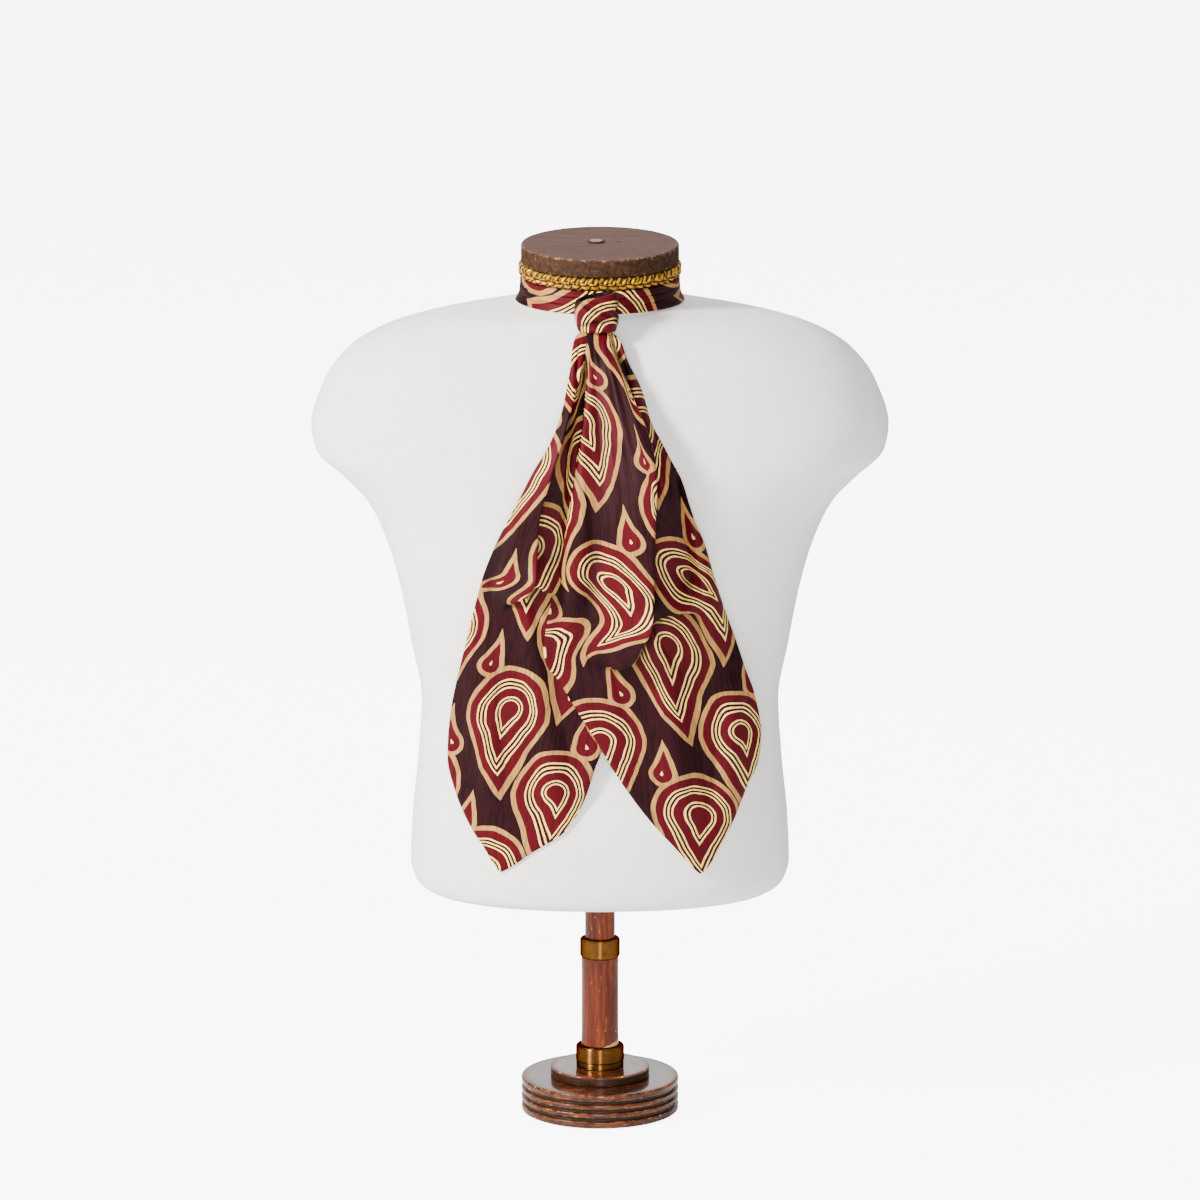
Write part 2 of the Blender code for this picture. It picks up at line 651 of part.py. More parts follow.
def make_blades(material):
    for blade in BLADES:
        blade_wall(blade, material)


def main():
    for old in list(bpy.data.objects):
        bpy.data.objects.remove(old)
    silk = finish("printed silk twill", (0.12, 0.022, 0.030), 0.5)
    cotton = finish("off-white cotton", (0.80, 0.79, 0.76), 0.9)
    cap_wood = finish("brown cap wood", (0.14, 0.075, 0.05), 0.45)
    plug_wood = finish("plug wood", (0.10, 0.05, 0.03), 0.5)
    gilt = finish("gilt braid", (0.60, 0.32, 0.04), 0.4, 0.8)
    column_wood = finish("reddish column wood", (0.24, 0.055, 0.02), 0.4)
    base_wood = finish("dark base wood", (0.11, 0.03, 0.015), 0.35)
    brass = finish("aged brass", (0.40, 0.22, 0.06), 0.35, 1.0)
    make_form(cotton)
    make_cap(cap_wood, plug_wood)
    make_braid(gilt)
    make_stand(column_wood, base_wood, brass)
    make_band(silk)
    make_knot(silk)
    make_blades(silk)


main()
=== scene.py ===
import math

import bmesh
import bpy
import numpy as np
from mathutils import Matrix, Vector, noise


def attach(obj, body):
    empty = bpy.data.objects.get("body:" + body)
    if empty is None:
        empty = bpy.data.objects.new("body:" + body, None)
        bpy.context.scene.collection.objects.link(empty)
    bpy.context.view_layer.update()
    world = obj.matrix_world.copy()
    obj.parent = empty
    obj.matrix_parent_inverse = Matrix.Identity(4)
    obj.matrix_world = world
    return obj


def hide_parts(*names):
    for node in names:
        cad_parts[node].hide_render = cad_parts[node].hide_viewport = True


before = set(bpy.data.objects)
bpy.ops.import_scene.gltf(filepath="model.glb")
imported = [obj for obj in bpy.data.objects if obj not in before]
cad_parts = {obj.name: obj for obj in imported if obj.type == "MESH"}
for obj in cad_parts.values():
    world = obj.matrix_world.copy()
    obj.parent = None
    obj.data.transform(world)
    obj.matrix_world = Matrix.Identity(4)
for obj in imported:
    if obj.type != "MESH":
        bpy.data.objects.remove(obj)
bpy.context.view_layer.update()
mm = 0.001  # tables and sizes below are in millimetres

# ---------- small tools ----------


def smoothThrough(heights, values):
    # a curve through the values with no overshoot
    order = np.argsort(heights)
    h = np.array(heights, float)[order]
    v = np.array(values, float)[order]
    step = np.diff(h)
    slope = np.diff(v) / step
    tangent = np.zeros(len(h))
    for i in range(1, len(h) - 1):
        if slope[i - 1] * slope[i] > 0:
            a = 2 * step[i] + step[i - 1]
            b = step[i] + 2 * step[i - 1]
            tangent[i] = (a + b) / (a / slope[i - 1] + b / slope[i])
    tangent[0], tangent[-1] = slope[0], slope[-1]

    def at(height):
        z = np.clip(height, h[0], h[-1])
        i = np.clip(np.searchsorted(h, z) - 1, 0, len(step) - 1)
        t = (z - h[i]) / step[i]
        start = v[i] * (1 + 2 * t) * (1 - t) ** 2 + tangent[i] * step[i] * t * (1 - t) ** 2
        end = v[i + 1] * t * t * (3 - 2 * t) + tangent[i + 1] * step[i] * t * t * (t - 1)
        return start + end

    return at


def curvesOf(rows):
    # one curve for each column after the first, which is the height
    heights = [row[0] for row in rows]
    return [smoothThrough(heights, [row[k] for row in rows]) for k in range(1, len(rows[0]))]


def eased(t):
    t = np.clip(t, 0.0, 1.0)
    return t * t * (3 - 2 * t)


def bump(t):
    return np.exp(-t * t)


def link(obj):
    bpy.context.scene.collection.objects.link(obj)
    return obj


def meshPiece(name, points, faces, material, sharp=40, uv=None, marks=None, outward=True):
    # points in millimetres; uv and marks hold one value a point
    mesh = bpy.data.meshes.new(name)
    mesh.from_pydata((np.asarray(points, float) * mm).tolist(), [], faces)
    if uv is not None:
        layer = mesh.uv_layers.new(name="clothMap")
        corner = np.zeros(len(mesh.loops), np.int32)
        mesh.loops.foreach_get("vertex_index", corner)
        layer.data.foreach_set("uv", (np.asarray(uv, float)[corner] * mm).ravel())
    for label, values in (marks or {}).items():
        held = mesh.attributes.new(label, "FLOAT", "POINT")
        held.data.foreach_set("value", np.asarray(values, float))
    if outward:
        shape = bmesh.new()
        shape.from_mesh(mesh)
        bmesh.ops.recalc_face_normals(shape, faces=shape.faces)
        shape.to_mesh(mesh)
        shape.free()
    mesh.materials.append(material)
    mesh.shade_smooth()
    mesh.set_sharp_from_angle(angle=math.radians(sharp))
    return link(bpy.data.objects.new(name, mesh))


def gridFaces(rows, columns, closed=False, start=0):
    faces = []
    for i in range(rows - 1):
        for j in range(columns if closed else columns - 1):
            k = (j + 1) % columns
            a = start + i * columns
            faces.append((a + j, a + columns + j, a + columns + k, a + k))
    return faces


def place(piece, slot, *nodes):
    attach(piece, "root")
    if nodes:
        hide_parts(*nodes)
    return piece


def report(stage, piece):
    piece.data.calc_loop_triangles()
    print(stage, piece.name, len(piece.data.loop_triangles), "triangles")


# ---------- node helpers ----------


def linear(*colour):
    return tuple(((c / 255 + 0.055) / 1.055) ** 2.4 if c > 10 else c / 255 / 12.92 for c in colour) + (1.0,)


def node(tree, kind, values=None, **settings):
    made = tree.nodes.new(kind)
    for label, value in settings.items():
        setattr(made, label, value)
    for key, value in (values or {}).items():
        feed(tree, made.inputs[key], value)
    return made


def feed(tree, socket, value):
    if hasattr(value, "is_linked"):
        tree.links.new(value, socket)
    else:
        socket.default_value = value


def sums(tree, operation, *values):
    made = tree.nodes.new("ShaderNodeMath")
    made.operation = operation
    for k, value in enumerate(values):
        feed(tree, made.inputs[k], value)
    return made.outputs[0]


def vectors(tree, operation, *values):
    made = tree.nodes.new("ShaderNodeVectorMath")
    made.operation = operation
    for k, value in enumerate(values):
        if operation == "SCALE" and k == 1:
            feed(tree, made.inputs["Scale"], value)
        else:
            feed(tree, made.inputs[k], value)
    return made.outputs["Value" if operation in ("DISTANCE", "LENGTH", "DOT_PRODUCT") else "Vector"]


def blendColour(tree, share, first, second, blend="MIX"):
    made = tree.nodes.new("ShaderNodeMix")
    made.data_type = "RGBA"
    made.blend_type = blend
    feed(tree, made.inputs["Factor"], share)
    feed(tree, made.inputs[6], first)
    feed(tree, made.inputs[7], second)
    return made.outputs[2]


def ramp(tree, value, stops, hard=False):
    made = tree.nodes.new("ShaderNodeValToRGB")
    made.color_ramp.interpolation = "CONSTANT" if hard else "LINEAR"
    points = made.color_ramp.elements
    while len(points) < len(stops):
        points.new(0.5)
    for point, (position, colour) in zip(points, stops):
        point.position = position
    for point, (position, colour) in zip(points, stops):
        point.color = colour if hasattr(colour, "__len__") else (colour, colour, colour, 1.0)
    feed(tree, made.inputs["Fac"], value)
    return made.outputs["Color"]


def mottle(tree, where, scale, detail=3.0, rough=0.5, distortion=0.0):
    made = node(tree, "ShaderNodeTexNoise", {"Vector": where, "Scale": scale, "Detail": detail})
    made.inputs["Roughness"].default_value = rough
    made.inputs["Distortion"].default_value = distortion
    return made.outputs[0]


def mapped(tree, where, scale=(1, 1, 1), turn=(0, 0, 0), shift=(0, 0, 0)):
    made = node(tree, "ShaderNodeMapping", {"Vector": where})
    made.inputs["Scale"].default_value = scale
    made.inputs["Rotation"].default_value = [math.radians(a) for a in turn]
    made.inputs["Location"].default_value = shift
    return made.outputs[0]


def group(name, inputs, outputs, build):
    # inputs and outputs are (label, kind, start value)
    kinds = {"f": "NodeSocketFloat", "v": "NodeSocketVector", "c": "NodeSocketColor"}
    tree = bpy.data.node_groups.new(name, "ShaderNodeTree")
    for label, kind, start in inputs:
        socket = tree.interface.new_socket(name=label, in_out="INPUT", socket_type=kinds[kind])
        if start is not None:
            socket.default_value = start
    for label, kind in outputs:
        tree.interface.new_socket(name=label, in_out="OUTPUT", socket_type=kinds[kind])
    into = tree.nodes.new("NodeGroupInput")
    out = tree.nodes.new("NodeGroupOutput")
    for label, value in build(tree, into.outputs).items():
        feed(tree, out.inputs[label], value)
    return tree


def used(tree, groupTree, **values):
    made = tree.nodes.new("ShaderNodeGroup")
    made.node_tree = groupTree
    for label, value in values.items():
        feed(tree, made.inputs[label], value)
    return made.outputs


def material(name, build, **fixed):
    made = bpy.data.materials.new(name)
    made.use_nodes = True
    tree = made.node_tree
    shader = tree.nodes["Principled BSDF"]
    for label, value in fixed.items():
        shader.inputs[label.replace("_", " ")].default_value = value
    for label, value in build(tree).items():
        feed(tree, shader.inputs[label], value)
    return made


def heightBump(tree, height, distance, strength=1.0):
    made = node(tree, "ShaderNodeBump", {"Height": height})
    made.inputs["Strength"].default_value = strength
    made.inputs["Distance"].default_value = distance
    return made.outputs["Normal"]


def objectPlace(tree):
    return vectors(tree, "SCALE", tree.nodes.new("ShaderNodeTexCoord").outputs["Object"], 1 / mm)


# ---------- shader groups that several finishes share ----------


def buildWeave(tree, into):
    # two sets of threads crossing at right angles, or a twill line when Twill is 1
    parts = node(tree, "ShaderNodeSeparateXYZ", {"Vector": into["Place"]}).outputs
    turns = sums(tree, "DIVIDE", 2 * math.pi, into["Pitch"])
    warp = sums(tree, "SINE", sums(tree, "MULTIPLY", parts[0], turns))
    weft = sums(tree, "SINE", sums(tree, "MULTIPLY", parts[1], turns))
    plain = sums(tree, "MULTIPLY", warp, weft)
    slanted = sums(tree, "ADD", parts[0], sums(tree, "MULTIPLY", parts[1], 0.55))
    twill = sums(tree, "SINE", sums(tree, "MULTIPLY", slanted, turns))
    mixed = node(tree, "ShaderNodeMix", {"Factor": into["Twill"]})
    feed(tree, mixed.inputs[2], plain)
    feed(tree, mixed.inputs[3], twill)
    slub = mottle(tree, mapped(tree, into["Place"], scale=(0.5, 0.05, 0.5)), 1.0, 2.0)
    height = sums(tree, "ADD", sums(tree, "MULTIPLY", mixed.outputs[0], 0.3), slub)
    return {"Height": height, "Slub": slub}


def buildGrain(tree, into):
    # long streaks along Z, bent a little, with fine pores
    bent = vectors(tree, "ADD", into["Place"], vectors(tree, "SCALE", node(
        tree, "ShaderNodeTexNoise", {"Vector": into["Place"], "Scale": 0.03}).outputs["Color"], into["Bend"]))
    broad = mottle(tree, mapped(tree, bent, scale=(0.32, 0.32, 0.018)), 1.0, 4.0, 0.55)
    fine = mottle(tree, mapped(tree, bent, scale=(1.5, 1.5, 0.05)), 1.0, 3.0, 0.6)
    pores = mottle(tree, mapped(tree, bent, scale=(2.6, 2.6, 0.16)), 1.0, 2.0, 0.5)
    return {"Broad": broad, "Fine": fine, "Pores": pores}


def buildChips(tree, into):
    # lacquer lost along worn edges: Edge is 1 on an edge and 0 on a flat
    rough = mottle(tree, into["Place"], into["Size"], 5.0, 0.62)
    reach = sums(tree, "ADD", rough, sums(tree, "MULTIPLY", into["Edge"], into["Amount"]))
    chips = ramp(tree, reach, [(0.0, 0.0), (0.80, 0.0), (0.83, 1.0)])
    scuffs = ramp(tree, reach, [(0.0, 0.0), (0.62, 0.0), (0.80, 1.0)])
    return {"Chips": chips, "Scuffs": scuffs}


weaveGroup = group("weave", [("Place", "v", None), ("Pitch", "f", 0.5), ("Twill", "f", 0.0)],
                   [("Height", "f"), ("Slub", "f")], buildWeave)
grainGroup = group("wood grain", [("Place", "v", None), ("Bend", "f", 6.0)],
                   [("Broad", "f"), ("Fine", "f"), ("Pores", "f")], buildGrain)
chipsGroup = group("worn edges", [("Place", "v", None), ("Edge", "f", 0.0), ("Size", "f", 0.4), ("Amount", "f", 0.2)],
                   [("Chips", "f"), ("Scuffs", "f")], buildChips)

# ---------- silk print: a half-drop repeat of plain teardrops ----------

printSettings = {
    "across": 112.0,
    "down": 134.0,
    "large": (35.5, 72.0, 24.0, 15.0),  # body radius, length, curl, lean
    "small": (11.0, 31.0, -8.0, -200.0),
    "smallAt": (-42.0, -6.0),
    "head": 0.55,
    "ground": (0.0128, 0.0011, 0.0020, 1.0),
    "groundDark": (0.0024, 0.0002, 0.0004, 1.0),
    "line": (0.0020, 0.0002, 0.0005, 1.0),
    "tan": (0.40, 0.20, 0.058, 1.0),
    "cream": (1.0, 0.68, 0.19, 1.0),
    "red": (0.067, 0.0012, 0.0042, 1.0),
    "redDark": (0.026, 0.0004, 0.0016, 1.0),
}


def buildTeardrop(tree, into):
    # a disc with a cone that bends sideways as it narrows; depth is less than 0 outside
    s = printSettings
    parts = node(tree, "ShaderNodeSeparateXYZ", {"Vector": into["Place"]}).outputs
    body, length, curl = into["Body"], into["Length"], into["Curl"]
    y = sums(tree, "SUBTRACT", parts[1], sums(tree, "MULTIPLY", body, s["head"]))
    along = sums(tree, "DIVIDE", sums(tree, "MAXIMUM", 0.0, sums(tree, "MULTIPLY", y, -1.0)), length)
    bow = sums(tree, "MULTIPLY", curl, sums(tree, "MULTIPLY", along, along))
    slope = sums(tree, "DIVIDE", sums(tree, "MULTIPLY", sums(tree, "MULTIPLY", curl, along), 2.0), length)
    straighten = sums(tree, "INVERSE_SQRT", sums(tree, "MULTIPLY_ADD", slope, slope, 1.0))
    x = sums(tree, "MULTIPLY", sums(tree, "ABSOLUTE", sums(tree, "SUBTRACT", parts[0], bow)), straighten)
    sine = sums(tree, "DIVIDE", body, length)
    cosine = sums(tree, "SQRT", sums(tree, "SUBTRACT", 1.0, sums(tree, "MULTIPLY", sine, sine)))
    reach = sums(tree, "SUBTRACT", sums(tree, "MULTIPLY", cosine, x), sums(tree, "MULTIPLY", sine, y))
    middle = node(tree, "ShaderNodeCombineXYZ", {"X": x, "Y": y}).outputs[0]
    disc = vectors(tree, "LENGTH", middle)
    below = sums(tree, "ADD", sums(tree, "MULTIPLY", sine, x), sums(tree, "MULTIPLY", cosine, y))
    mixed = node(tree, "ShaderNodeMix", {"Factor": sums(tree, "LESS_THAN", below, 0.0)})
    feed(tree, mixed.inputs[2], disc)
    feed(tree, mixed.inputs[3], reach)
    return {"Depth": sums(tree, "SUBTRACT", body, mixed.outputs[0])}


teardropGroup = group("teardrop", [("Place", "v", None), ("Body", "f", 30.0), ("Length", "f", 64.0), ("Curl", "f", 20.0)],
                      [("Depth", "f")], buildTeardrop)


def repeatDepth(tree, flat):
    # each teardrop and its mirrored neighbour, half a drop lower
    s = printSettings
    parts = node(tree, "ShaderNodeSeparateXYZ", {"Vector": flat}).outputs
    deepest = None
    for size, (shiftX, shiftY) in ((s["large"], (0.0, 0.0)), (s["small"], s["smallAt"])):
        body, length, curl, lean = size
        for side in (1.0, -1.0):
            half = 0.25 * (1 - side)
            x = sums(tree, "MULTIPLY", parts[0], side)
            x = sums(tree, "ADD", x, -shiftX + half * s["across"])
            y = sums(tree, "ADD", parts[1], -shiftY + half * s["down"])
            x = sums(tree, "WRAP", x, -s["across"] / 2, s["across"] / 2)
            y = sums(tree, "WRAP", y, -s["down"] / 2, s["down"] / 2)
            cell = node(tree, "ShaderNodeCombineXYZ", {"X": x, "Y": y}).outputs[0]
            cell = mapped(tree, cell, turn=(0, 0, lean))
            depth = used(tree, teardropGroup, Place=cell, Body=body, Length=length, Curl=curl)["Depth"]
            deepest = depth if deepest is None else sums(tree, "MAXIMUM", deepest, depth)
    return deepest


def buildSilk(tree):
    s = printSettings
    flat = node(tree, "ShaderNodeUVMap", uv_map="clothMap").outputs[0]
    flat = vectors(tree, "SCALE", flat, 1 / mm)
    drift = node(tree, "ShaderNodeTexNoise", {"Vector": flat, "Scale": 0.016, "Detail": 1.0}).outputs["Color"]
    drift = vectors(tree, "SCALE", vectors(tree, "SUBTRACT", drift, (0.5, 0.5, 0.5)), 15.0)
    shake = node(tree, "ShaderNodeTexNoise", {"Vector": flat, "Scale": 0.11, "Detail": 0.0}).outputs["Color"]
    shake = vectors(tree, "SCALE", vectors(tree, "SUBTRACT", shake, (0.5, 0.5, 0.5)), 1.2)
    drawn = vectors(tree, "ADD", vectors(tree, "ADD", flat, drift), shake)
    depth = repeatDepth(tree, drawn)
    wander = sums(tree, "SUBTRACT", mottle(tree, mapped(tree, flat, scale=(0.05, 0.05, 1), shift=(9, 4, 0)), 1.0, 1.0), 0.5)
    depth = sums(tree, "ADD", depth, sums(tree, "MULTIPLY", wander, 1.5))
    bands = [(-2.0, s["ground"]), (-0.9, s["line"]), (0.0, s["tan"]), (3.6, s["red"]), (9.6, s["cream"])]
    bands += [(10.9, s["redDark"]), (12.6, s["cream"]), (13.9, s["redDark"]), (15.6, s["cream"])]
    bands += [(16.9, s["red"]), (23.6, s["cream"]), (24.9, s["redDark"]), (26.5, s["cream"]), (27.8, s["red"])]
    stops = [((at + 2.0) / 40.0, colour) for at, colour in bands]
    print2d = ramp(tree, sums(tree, "DIVIDE", sums(tree, "ADD", depth, 2.0), 40.0), stops, hard=True)
    # painted shade: where the plain mark is 1 the print gives way to the dark ground colour
    shadeGround = node(tree, "ShaderNodeAttribute", attribute_name="plain").outputs["Fac"]
    print2d = blendColour(tree, shadeGround, print2d, s["ground"])
    # brushed strokes, in patches that lean different ways
    patch = ramp(tree, mottle(tree, flat, 0.024, 1.0), [(0.0, 0.0), (0.47, 0.0), (0.53, 1.0)])
    leaning = mottle(tree, mapped(tree, flat, scale=(0.46, 0.040, 1), turn=(0, 0, 36)), 1.0, 3.0, 0.6)
    upright = mottle(tree, mapped(tree, flat, scale=(0.52, 0.036, 1), turn=(0, 0, -16)), 1.0, 3.0, 0.6)
    both = node(tree, "ShaderNodeMix", {"Factor": patch})
    feed(tree, both.inputs[2], leaning)
    feed(tree, both.inputs[3], upright)
    strokes = ramp(tree, both.outputs[0], [(0.0, 0.0), (0.49, 0.0), (0.57, 1.0)])
    motif = ramp(tree, depth, [(0.0, 0.0), (0.02, 1.0)])
    reach = sums(tree, "SUBTRACT", 0.90, sums(tree, "MULTIPLY", motif, 0.62))
    colour = blendColour(tree, sums(tree, "MULTIPLY", strokes, reach), print2d, s["groundDark"])
    weave = used(tree, weaveGroup, Place=flat, Pitch=0.62, Twill=1.0)
    tone = ramp(tree, weave["Slub"], [(0.25, 0.86), (0.75, 1.10)])
    colour = blendColour(tree, 1.0, colour, tone, "MULTIPLY")
    # painted shade: the silk is darkened towards the outline colour where the cloth lies below its surroundings
    paintedShade = node(tree, "ShaderNodeAttribute", attribute_name="paintedShade").outputs["Fac"]
    colour = blendColour(tree, sums(tree, "MULTIPLY", paintedShade, 0.86), colour, s["line"])
    rough = sums(tree, "ADD", 0.43, sums(tree, "MULTIPLY", weave["Slub"], 0.16))
    return {"Base Color": colour, "Roughness": rough, "Normal": heightBump(tree, weave["Height"], 0.00008, 0.5)}


silk = material("printed silk twill", buildSilk, Sheen_Weight=0.03, Sheen_Roughness=0.3,
                Sheen_Tint=(0.6, 0.25, 0.3, 1.0), Specular_IOR_Level=0.14, Specular_Tint=(0.9, 0.5, 0.55, 1.0))

# ---------- cotton, gilt, wood and brass ----------


def buildCotton(tree):
    where = objectPlace(tree)
    spots = mottle(tree, where, 0.012, 3.0)
    weave = used(tree, weaveGroup, Place=mapped(tree, where, turn=(90, 0, 0)), Pitch=1.1, Twill=0.0)
    colour = ramp(tree, spots, [(0.3, linear(238, 236, 231)), (0.7, linear(246, 245, 242))])
    soft = ramp(tree, mottle(tree, where, 0.05, 4.0, 0.6), [(0.3, 0.0), (0.75, 1.0)])
    colour = blendColour(tree, sums(tree, "MULTIPLY", soft, 0.16), colour, linear(206, 201, 192))
    mark = node(tree, "ShaderNodeAttribute", attribute_name="seam").outputs["Fac"]
    colour = blendColour(tree, sums(tree, "MULTIPLY", mark, 0.4), colour, linear(168, 162, 152))
    # painted shade: a dark brown band under the gilt trim
    paintedShadeBand = node(tree, "ShaderNodeAttribute", attribute_name="paintedShadeBand").outputs["Fac"]
    colour = blendColour(tree, paintedShadeBand, colour, linear(26, 16, 12))
    return {"Base Color": colour, "Roughness": sums(tree, "ADD", 0.82, sums(tree, "MULTIPLY", soft, 0.1)),
            "Normal": heightBump(tree, weave["Height"], 0.00022, 0.45)}


def buildGilt(tree):
    along = node(tree, "ShaderNodeAttribute", attribute_name="alongCord").outputs["Fac"]
    roundSin = node(tree, "ShaderNodeAttribute", attribute_name="roundSin").outputs["Fac"]
    roundCos = node(tree, "ShaderNodeAttribute", attribute_name="roundCos").outputs["Fac"]
    turn = sums(tree, "MULTIPLY", along, 2 * math.pi / 0.0046)
    twist = sums(tree, "ADD", sums(tree, "MULTIPLY", roundSin, sums(tree, "COSINE", turn)),
                 sums(tree, "MULTIPLY", roundCos, sums(tree, "SINE", turn)))
    # painted shade: the grooves between the twisted threads are coloured dark
    threadsAndGrooveShade = ramp(tree, sums(tree, "ADD", 0.5, sums(tree, "MULTIPLY", twist, 0.5)), [(0.18, 0.0), (0.66, 1.0)])
    worn = mottle(tree, objectPlace(tree), 0.16, 3.0)
    gold = ramp(tree, worn, [(0.3, linear(150, 96, 1)), (0.6, linear(206, 150, 3))])
    colour = blendColour(tree, threadsAndGrooveShade, linear(30, 14, 2), gold)
    return {"Base Color": colour, "Roughness": sums(tree, "ADD", 0.3, sums(tree, "MULTIPLY", worn, 0.2)),
            "Metallic": sums(tree, "MULTIPLY", threadsAndGrooveShade, 0.5), "Normal": heightBump(tree, threadsAndGrooveShade, 0.0004, 0.8)}


def buildCapWood(tree):
    where = objectPlace(tree)
    edge = node(tree, "ShaderNodeAttribute", attribute_name="edge").outputs["Fac"]
    upper = node(tree, "ShaderNodeAttribute", attribute_name="upper").outputs["Fac"]
    grain = used(tree, grainGroup, Place=mapped(tree, where, turn=(0, 90, 0)), Bend=8.0)
    top = ramp(tree, grain["Broad"], [(0.3, linear(70, 49, 41)), (0.7, linear(88, 65, 56))])
    top = blendColour(tree, ramp(tree, grain["Fine"], [(0.45, 0.0), (0.75, 0.5)]), top, linear(50, 32, 26))
    side = ramp(tree, mottle(tree, where, 0.25, 5.0, 0.7), [(0.35, linear(26, 12, 6)), (0.62, linear(62, 36, 16))])
    # the top is lighter than the side: partly its dust, partly painted light from above, with the side painted in
    # shade
    colour = blendColour(tree, upper, side, top)
    chips = used(tree, chipsGroup, Place=where, Edge=edge, Size=0.34, Amount=0.17)
    colour = blendColour(tree, sums(tree, "MULTIPLY", chips["Scuffs"], 0.5), colour, linear(150, 124, 98))
    colour = blendColour(tree, chips["Chips"], colour, linear(184, 142, 80))
    dust = mottle(tree, where, 1.4, 2.0, 0.7)
    colour = blendColour(tree, ramp(tree, dust, [(0.58, 0.0), (0.8, 0.35)]), colour, linear(110, 92, 82))
    # a small dark nail hole right of the plug
    flatten = vectors(tree, "MULTIPLY", where, (1.0, 1.0, 0.0))
    fromHole = vectors(tree, "DISTANCE", flatten, (14.5, 4.0, 0.0))
    hole = sums(tree, "MULTIPLY", sums(tree, "LESS_THAN", fromHole, 1.5), upper)
    colour = blendColour(tree, hole, colour, linear(18, 10, 7))
    height = sums(tree, "ADD", grain["Fine"], sums(tree, "MULTIPLY", chips["Chips"], -0.8))
    return {"Base Color": colour, "Roughness": sums(tree, "ADD", 0.55, sums(tree, "MULTIPLY", dust, 0.3)),
            "Normal": heightBump(tree, height, 0.0003, 0.5)}


def buildPlugWood(tree):
    where = objectPlace(tree)
    grain = used(tree, grainGroup, Place=mapped(tree, where, turn=(90, 0, 0)), Bend=3.0)
    colour = ramp(tree, grain["Broad"], [(0.3, linear(120, 96, 84)), (0.7, linear(150, 124, 108))])
    rim = node(tree, "ShaderNodeAttribute", attribute_name="edge").outputs["Fac"]
    colour = blendColour(tree, sums(tree, "MULTIPLY", rim, 1.0), colour, linear(34, 20, 15))
    return {"Base Color": colour, "Roughness": sums(tree, "ADD", 0.4, sums(tree, "MULTIPLY", grain["Fine"], 0.3)),
            "Normal": heightBump(tree, grain["Fine"], 0.0002, 0.5)}


def buildColumnWood(tree):
    where = objectPlace(tree)
    edge = node(tree, "ShaderNodeAttribute", attribute_name="edge").outputs["Fac"]
    grain = used(tree, grainGroup, Place=where, Bend=5.0)
    colour = ramp(tree, grain["Broad"], [(0.34, linear(66, 18, 2)), (0.5, linear(84, 27, 3)), (0.68, linear(112, 46, 6))])
    colour = blendColour(tree, ramp(tree, grain["Fine"], [(0.52, 0.0), (0.70, 0.45)]), colour, linear(66, 20, 6))
    streaks = mottle(tree, mapped(tree, where, scale=(0.9, 0.9, 0.06), shift=(3, 7, 1)), 1.0, 2.0, 0.5)
    colour = blendColour(tree, ramp(tree, streaks, [(0.70, 0.0), (0.76, 0.7)]), colour, linear(190, 118, 56))
    # short pale dings, each leaning its own way
    dings = mottle(tree, mapped(tree, where, scale=(0.75, 0.75, 0.24), turn=(18, 25, 12)), 1.0, 1.0, 0.5)
    nicks = ramp(tree, dings, [(0.75, 0.0), (0.775, 0.8)])
    colour = blendColour(tree, nicks, colour, linear(206, 150, 104))
    chips = used(tree, chipsGroup, Place=where, Edge=edge, Size=0.09, Amount=0.15)
    colour = blendColour(tree, chips["Chips"], colour, linear(214, 160, 112))
    # one larger chip at the foot, right of the middle
    parts = node(tree, "ShaderNodeSeparateXYZ", {"Vector": where}).outputs
    brink = sums(tree, "MULTIPLY_ADD", parts[0], 0.34, sums(tree, "MULTIPLY_ADD", dings, 2.4, 50.6))
    chip = sums(tree, "MULTIPLY", sums(tree, "LESS_THAN", parts[2], brink), sums(tree, "LESS_THAN", parts[1], 0.0))
    colour = blendColour(tree, chip, colour, linear(206, 146, 96))
    height = sums(tree, "SUBTRACT", grain["Fine"], sums(tree, "ADD", nicks, chips["Chips"]))
    rough = sums(tree, "ADD", 0.24, sums(tree, "MULTIPLY", sums(tree, "ADD", nicks, grain["Pores"]), 0.3))
    return {"Base Color": colour, "Roughness": rough, "Normal": heightBump(tree, height, 0.0002, 0.5)}


